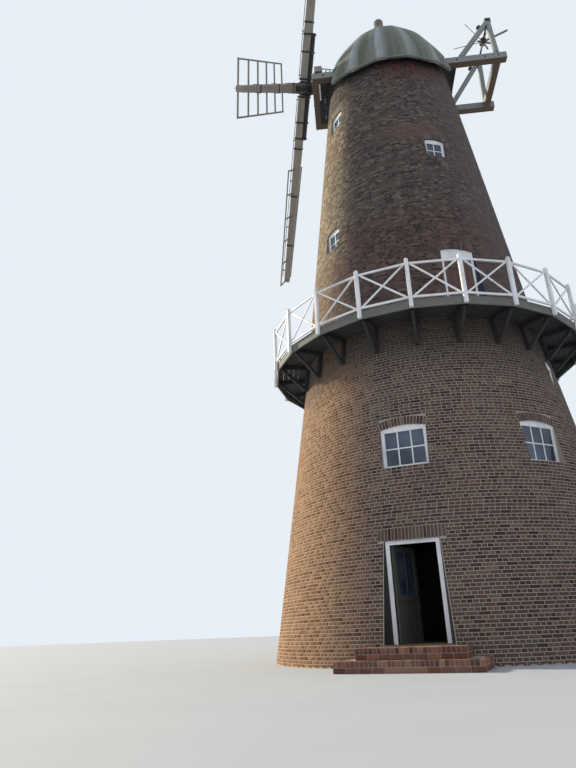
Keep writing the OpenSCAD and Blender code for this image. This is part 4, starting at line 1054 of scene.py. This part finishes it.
def addCapTimbers():
    irons, ties, b = Form(), Form(), beamSet
    middle, deep, y = (b["sheerLow"] + b["sheerTop"]) / 2, b["sheerTop"] - b["sheerLow"], b["sheerY"]
    for side, name in ((1, "sheer_right"), (-1, "sheer_left")):
        sheer = Form()
        sheer.bar(capPlace, (-b["front"], side * y, middle), outward, b["front"] + b["rear"], b["sheerW"],
                  deep, 0.012)
        sheer.finish(name + "_beam", [greyWood], "cap", "grey_timber", instead=name)
        for x in b["bolts"]:
            irons.bolt(capPlace, (x, side * (y + b["sheerW"] / 2), middle), (0, side, 0), 0.022, 0.016)
    half = y - b["sheerW"] / 2 - 0.001
    for x in (-b["front"] + b["tieW"] / 2, b["tailX"]):
        ties.bar(capPlace, (x, -half, middle), across, 2 * half, b["tieW"], deep, 0.010)
    ties.finish("tie_beam_pair", [greyWood], "cap", "cap_timber", instead="tie_beams")
    for side, name in ((1, "fan_frame_right"), (-1, "fan_frame_left")):
        legs, out = Form(), Vector((0, side, 0))
        apex = Vector(fanSet["place"]) + out * b["fanY"]
        for x in (apex.x - b["legSpread"], apex.x):
            foot = Vector((x, side * y, b["sheerTop"] - 0.15))
            run = apex - foot
            foot += run * ((b["sheerTop"] + 0.001 - foot.z) / run.z)
            legs.bar(capPlace, foot, run, (0.02, (apex - foot).length + 0.03), b["legW"], b["legW"],
                     0.008, out)
            irons.bolt(capPlace, foot + run.normalized() * 0.12 + out * 0.074, out, 0.02, 0.014)
        legs.bar(capPlace, apex - Vector((0.11, 0, 0)), outward, 0.22, 0.156, 0.22, 0.012)
        legs.finish(name + "_legs", [greyWood], "cap", "grey_timber", instead=name)
        irons.turned(capPlace @ Matrix.Translation(apex + Vector((0, 0, 0.105))),
                     [(0.030, 0), (0.030, 0.008), (0.016, 0.014), (0.015, 0.09), (0.004, 0.124)], 12)
        lugX, lugY, lugZ = b["lug"]
        irons.timber(capPlace @ along(apex + out * 0.078 - Vector((0.09, 0, 0)), outward),
                     (0, -0.005, -0.07), (0.18, 0.008, 0.07), 0.004)
        irons.timber(capPlace @ along((lugX, side * lugY, lugZ), (0.64, 0, 0.77)), (-0.07, -0.05, 0.02),
                     (0.07, 0.05, 0.14), 0.01)
    irons.finish("cap_bolts", [iron], "cap", "iron", 40)


# floor boards between the sheers, in front of the tower and behind it
floorSet = dict(half=0.948, spans=((-2.462, -1.90), (1.90, 2.34)), board=0.19, gap=0.004, thick=0.035)


def addCapFloor():
    form, s, low = Form(), floorSet, beamSet["sheerLow"] + 0.002
    for x, end in s["spans"]:
        while x < end - 0.02:
            wide = min(s["board"], end - x)
            place = along((x + wide / 2, -s["half"], low), across)
            form.timber(capPlace @ place, (0, -wide / 2 + s["gap"] / 2, 0),
                        (2 * s["half"], wide / 2 - s["gap"] / 2, s["thick"]), 0.003)
            x += s["board"]
    form.timber(capPlace @ along((s["spans"][0][0] + 0.026, -s["half"], low - 0.014), across),
                (0, -0.024, 0), (0.72, 0.024, 0.012), 0.002, 1)
    form.finish("cap_floor", [capFloorShadeWood, whiteWood], "cap", "cap_timber")


# weather beam: the cross piece under the windshaft, with its bearing block
weatherSet = dict(x=2.59, deep=0.27, high=0.26, past=0.06, blockHalf=0.315, shaftGap=0.004)


def addWeatherBeam():
    form, irons, b, s = Form(), Form(), beamSet, weatherSet
    low, top, tilt = b["sheerTop"] + 0.0003, b["sheerTop"] + s["high"], rad(shaftSet["tilt"])
    reach, half = b["sheerY"] + b["sheerW"] / 2 + s["past"], s["blockHalf"]
    thick, rise, lean = s["deep"] / 2, tan(tilt), cos(tilt)
    middle, r = -s["x"] + thick, shaftSet["radius"] + s["shaftGap"]
    form.bar(capPlace, (middle, -reach, (low + top) / 2), across, 2 * reach, s["deep"], top - low, 0.012)
    centre = shaftSet["height"] - (shaftSet["front"] + middle) * rise
    level = centre - 0.02
    arc = [-r + 2 * r * k / 16 for k in range(17)]
    outline = [(-half, top - 0.01), (-half, level)]
    outline += [(y, min(level, centre - sqrt(max(0, r * r - y * y)) / lean)) for y in arc]
    outline += [(half, level), (half, top - 0.01)]
    faces = [[capPlace @ Vector((middle + side * thick, y, z - (side * thick * rise if z > top else 0)))
              for y, z in outline] for side in (-1, 1)]
    form.slab(*faces, 0.5, 0, [(y, 0.0, z) for y, z in outline] * 2)
    form.finish("weather_timbers", [greyWood], "cap", "cap_timber", instead="weather_beam")
    for side in (-1, 1):
        irons.bolt(capPlace, (middle - thick, side * b["sheerY"], (low + top) / 2), (-1, 0, 0), 0.03, 0.02)
        irons.bolt(capPlace, (middle - thick, side * 0.25, top + 0.10), (-1, 0, 0), 0.022, 0.016)
    irons.finish("weather_bolts", [iron], "cap", "iron", 40)


# fan wheel: an axle and hub with bare arms of uneven length
fanSet = dict(place=(3.75, 0, 20.95), axleR=0.035, axleHalf=0.945, hubR=0.11, hubL=0.26,
              arms=[(-22, 0.42, 0.055), (25, 1.10, 0.06), (68, 0.52, 0.05), (117, 1.16, 0.022),
                    (158, 0.24, 0.05), (190, 1.12, 0.022), (254, 0.45, 0.055),
                    (288, 0.43, 0.055)])  # each arm: direction, reach, width


def addFan():
    form, s, sideways = Form(), fanSet, Vector(across)
    middle = capPlace @ Matrix.Translation(s["place"])
    turning = middle @ Matrix.Rotation(rad(90), 4, "X")
    r, hub, h, a = s["axleR"], s["hubR"], s["hubL"] / 2, s["axleHalf"]
    form.turned(turning, [(r * 0.8, -a), (r, -a + 0.008), (r, a - 0.008), (r * 0.8, a)], 20)
    flange = [(0.07, h), (hub - 0.012, h - 0.004), (hub, h - 0.016), (hub, h - 0.05), (hub - 0.022, h - 0.06)]
    form.turned(turning, [(wide, -z) for wide, z in flange] + flange[::-1], 28)
    for direction, reach, width in s["arms"]:
        run, start = Vector((cos(rad(direction)), 0, sin(rad(direction)))), hub / 2
        if width < 0.03:  # a bare rod
            place = middle @ along(run * start, run, sideways) @ Matrix.Rotation(rad(90), 4, "Y")
            length = reach - start
            form.turned(place, [(width / 2, 0), (width / 2, length - 0.03), (width * 0.36, length)], 10)
            continue
        form.bar(middle, run * start, run, reach - start - 0.05, width, width, 0.006, sideways, 1)
        tip = along(run * (reach - 0.06), run, sideways)  # the splintered end of an arm
        form.timber(middle @ tip, (0, -width / 2 + 0.002, -width * 0.1),
                    (0.052 if width > 0.05 else 0.04, width * 0.22, width / 2 - 0.003), 0.003, 1)
        for r in (0.13, 0.2):
            form.bolt(middle, run * r + sideways * (width / 2), across, 0.012, 0.009)
    form.finish("fan_arms", [iron, greyWood], "fan", "iron", 35, "fan_wheel")


addCapTimbers()
addCapFloor()
addWeatherBeam()
print("cap timbers built")
addFan()
print("fan built")

# sails: whip, sail bars, hemlaths; then the poll cross that carries them and its straps
whipSet = dict(low=0.245, high=7.56, wide=(0.33, 0.165), deep=(0.275, 0.20), edge=0.012, steps=24, barW=0.055,
               barD=0.040, hem=0.045, lift=0.06, battenW=0.09, battenT=0.03)
crossSet = dict(bossR=0.24, bossL=0.48, bossFront=0.16, armD=0.12, armW=0.23, armTaper=0.24, gap=0.0002,
                strapW=0.06, strapT=0.014, straps=(0.30, 1.20, 1.77, 2.15, 3.959, 5.967))
sailPlaces = [shaftPlace @ Matrix.Rotation(-rad(sailSet["park"] + 90 * i), 4, "Z") for i in range(4)]
armLow = -whipSet["deep"][0] / 2 - crossSet["gap"] - crossSet["armD"]


def whipWide(r):
    s = whipSet
    return s["wide"][0] + (s["wide"][1] - s["wide"][0]) * (r - s["low"]) / (s["high"] - s["low"])


def whipDeep(r):
    s = whipSet
    share = max(0, (r - sailSet["armReach"]) / (s["high"] - sailSet["armReach"]))
    return s["deep"][0] + (s["deep"][1] - s["deep"][0]) * share


def taperWhip(p):
    return p[0], p[1] * whipWide(p[0]) / whipSet["wide"][0], p[2] * whipDeep(p[0]) / whipSet["deep"][0]


def taperArm(p):
    return p[0], p[1] * (1 - crossSet["armTaper"] * p[0] / sailSet["armReach"]), p[2]


def addSail(place, name):
    form, s, w = Form(), sailSet, whipSet
    length, gain, bays = s["reach"] - w["barW"] - s["heel"], s["tipTwist"] - s["heelTwist"], s["bays"]
    bars = [(s["heel"] + w["barW"] / 2 + i * length / bays, rad(s["heelTwist"] + gain * i / bays))
            for i in range(bays + 1)]  # how far out each bar is, and its twist
    form.timber(place, (w["low"], -w["wide"][0] / 2, -w["deep"][0] / 2),
                (w["high"], w["wide"][0] / 2, w["deep"][0] / 2), w["edge"], 0, taperWhip, w["steps"])
    for r, twist in bars:
        wide, deep = whipWide(r), whipDeep(r)
        bar = place @ Matrix.Translation((r, 0, w["lift"])) @ Matrix.Rotation(twist, 4, "X")
        inner = wide / 2 - 0.01
        for side in (-1, 1):
            form.bar(bar, (0, side * inner, 0), (0, side, 0), s["barReach"] - inner, w["barW"], w["barD"])
        form.bar(place, (r, -wide / 2, deep / 2 + 0.005), across, (0.01, wide - 0.01), w["barW"] * 0.72,
                 0.010, 0.003, index=1)
        for side in (-1, 1):
            form.bolt(place, (r, side * wide * 0.38, deep / 2 + 0.009), upward, 0.012, 0.009, 1)
    reach = s["barReach"] - w["hem"] / 2
    for side in (-1, 1):
        ends = [Vector((r, side * reach * cos(twist), w["lift"] + side * reach * sin(twist)))
                for r, twist in bars]
        run = ends[-1] - ends[0]
        form.bar(place, ends[0], run, (-w["barW"] / 2, run.length + w["barW"] / 2), w["hem"], w["hem"])
        for p in ends:
            form.bolt(place, p + Vector((0, 0, w["hem"] / 2)), upward, 0.008, 0.006, 1)
    low, high = crossSet["straps"][0] + 0.04, w["high"] - 0.02
    run = (high - low, 0, (whipDeep(high) - whipDeep(low)) / 2)
    form.timber(place @ along((low, 0, whipDeep(low) / 2 - 0.004), run), (0, -w["battenW"] / 2, 0),
                (high - low, w["battenW"] / 2, w["battenT"]), 0.006, 2)
    form.finish(name + "_frame", [sailWood, iron, whiteWood], "sails", "sail_timber", 30, name)


def addCross():
    form, c, s = Form(), crossSet, sailSet
    back, front, r = c["bossFront"] - c["bossL"], c["bossFront"], c["bossR"]
    form.turned(shaftPlace, [(r - 0.025, back), (r, back + 0.025), (r, front - 0.04),
                             (r - 0.010, front - 0.015), (r - 0.035, front - 0.004), (0.165, front - 0.004),
                             (0.155, front - 0.02), (0.085, front - 0.02), (0.075, front)], 56)
    for i, place in enumerate(sailPlaces):
        form.timber(place, (0.1, -c["armW"] / 2, armLow),
                    (s["armReach"], c["armW"] / 2, armLow + c["armD"] - 0.0005), 0.018, 0, taperArm, 6)
        corner = polar(0.185, -rad(s["park"] + 90 * i + 45), front - 0.006)
        form.bolt(shaftPlace, corner, upward, 0.016, 0.010)
    form.finish("cross_casting", [iron], "sails", "iron", 35, "poll_cross")


# hoops round each whip, the inner three also round the arm that carries it
def addStraps():
    form, c = Form(), crossSet
    t, half = c["strapT"], c["strapW"] / 2
    faces = [face for k, n in ((0, 1), (1, 2), (2, 3), (3, 0)) for face in (
        (k, n, 4 + n, 4 + k), (8 + k, 12 + k, 12 + n, 8 + n), (4 + k, 4 + n, 12 + n, 12 + k),
        (k, 8 + k, 8 + n, n))]
    for place in sailPlaces:
        for r in c["straps"]:
            wide, deep, roundArm = whipWide(r) / 2 + 0.0003, whipDeep(r) / 2 + 0.0003, r < sailSet["armReach"]
            low = armLow if roundArm else -deep
            points = [(r + x, y, z) for x in (-half, half) for g in (0, t) for y, z in (
                (wide + g, low - g), (wide + g, deep + g), (-wide - g, deep + g), (-wide - g, low - g))]
            form.add([place @ Vector(p) for p in points], faces, points)
            for side in (-1, 1):
                form.bolt(place, (r, side * (wide + t), (low + deep) / 2), (0, side, 0), 0.013, 0.010)
            if roundArm:
                form.bolt(place, (r, 0, deep + t), upward, 0.016, 0.012)
    form.finish("sail_hoops", [iron], "sails", "iron", 35, "sail_straps")


for i, place in enumerate(sailPlaces):
    addSail(place, "sail_" + str(i + 1))
addCross()
addStraps()
print("sails built")

# entrance steps: bricks on edge over a stretcher course, two risers; each step is half, front, low and high
stepSet = dict(upper=(1.0, 5.44, 0.20, 0.40), lower=(1.33, 5.77, 0.0, 0.20), joint=0.008,
               brick=(0.225, 0.075, 0.10), back=4.2, sideBack=4.26, coreIn=0.006, tile=(0.105, 0.06),
               tileIn=0.108, tileBack=4.75, lap=0.02)


def addSteps():
    form, core, s = Form(), Form(), stepSet
    j, (long, narrow, deep), edge = s["joint"], s["brick"], 0.006
    for half, front, low, high in (s["lower"], s["upper"]):
        core.bar(atOrigin, (0, -front + s["coreIn"], (low + high - s["coreIn"]) / 2), across,
                 front - s["coreIn"] - s["back"], 2 * (half - s["coreIn"]), high - low - s["coreIn"], 0.002)
        for row in (0, 1):  # the stretcher course, then the bricks on edge
            z0, z1 = (high - deep, high) if row else (low + 0.001, high - deep - j)
            z, tall, wide = (z0 + z1) / 2, z1 - z0, narrow if row else long
            count = round(2 * half / (wide + j))
            pitch = (2 * half + j) / count
            for k in range(count):
                x = -half + k * pitch
                if row:
                    form.bar(atOrigin, (x + (pitch - j) / 2, -front, z), across, long, pitch - j, tall, edge)
                else:
                    form.bar(atOrigin, (x, -front + 0.05, z), outward, pitch - j, 0.10, tall, edge)
            for side in (-1, 1):
                y = -front + (long if row else 0.10) + j
                while y < -s["sideBack"] - 0.04:
                    length = min(long, -s["sideBack"] - y)
                    if length < 0.05 or hypot(half, y) < outerR(z1) + s["lap"]:
                        break
                    form.bar(atOrigin, (side * (half - deep / 2), y, z), across, length, deep, tall, edge)
                    y += length + j
        tile, thick = s["tile"]
        last = -s["tileBack"] if low else -s["upper"][1] + s["lap"]
        for k in range(30):
            y = -front + long + j + k * (tile + j)
            if y > last:
                break
            x, length = -half + s["tileIn"], long / 2 if k % 2 else long
            while x < half - s["tileIn"] - 0.032:
                length = min(length, half - s["tileIn"] - x)
                form.bar(atOrigin, (x, y + tile / 2, high - thick / 2), outward, length, tile, thick, 0.005)
                x, length = x + length + j, long
    core.finish("step_core", [mortar], "tower", "brick")
    form.finish("step_bricks", [stepBrickPaintedShade], "tower", "brick", instead="entrance_steps")


addSteps()

# ground floor door: framed leaf with a raised lower panel and glazing bars
leafSet = dict(hinge=(-0.506, -4.0298, 0.426), open=75, low=(0.007, -0.063), width=0.998, thick=0.045,
               high=1.938, stile=0.11, panelTop=0.82, glassLow=0.93, lap=0.002)


def addLeaf():
    form, s = Form(), leafSet
    place = Matrix.Translation(s["hinge"]) @ facing(s["open"]) @ Matrix.Translation((*s["low"], 0))
    w, t, h, m, lap = s["width"], s["thick"], s["high"], s["stile"], s["lap"]
    p0, p1 = 2 * m, s["panelTop"]

    def upright(x, y, z0, z1, wide, deep, edge):
        form.bar(place, (x, y, z0), upward, z1 - z0, wide, deep, edge, across)

    def rail(y, z0, z1, deep, edge, inset=0.0):
        form.bar(place, (m + inset, y, (z0 + z1) / 2), outward, w - 2 * m - 2 * inset, deep, z1 - z0, edge)

    def beads(y, z0, z1, wide, deep, edge):
        for z in (z0, z1 - wide):
            rail(y, z, z + wide, deep, edge)
        for x in (m + wide / 2, w - m - wide / 2):
            upright(x, y, z0, z1, wide, deep, edge)

    for x in (m / 2, w - m / 2):
        upright(x, t / 2, 0, h, m, t, 0.002)
    for z0, z1 in ((0, 2 * m), (p1, s["glassLow"]), (h - m, h)):
        rail(t / 2, z0, z1, t - 0.001, 0.002, -0.0005)
    rail(t / 2, p0 - lap, p1 + lap, 0.020, 0.002, -lap)
    for side in (-1, 1):
        rail(t / 2 + side * 0.0125, p0 + 0.06, p1 - 0.06, 0.009, 0.004, 0.06)
        beads(t / 2 + side * 0.0125, p0, p1, 0.018, 0.012, 0.004)
        y, z0, z1 = t / 2 + side * 0.012, s["glassLow"], h - m
        beads(y, z0, z1, 0.014, 0.016, 0.003)
        upright(w / 2, y, z0, z1, 0.022, 0.016, 0.003)
        rail(y, (z0 + z1) / 2 - 0.011, (z0 + z1) / 2 + 0.011, 0.016, 0.003)
    form.finish("door_boards", [doorPaint], "door", "door_paint", instead="door_leaf")


addLeaf()
print("steps and door built")
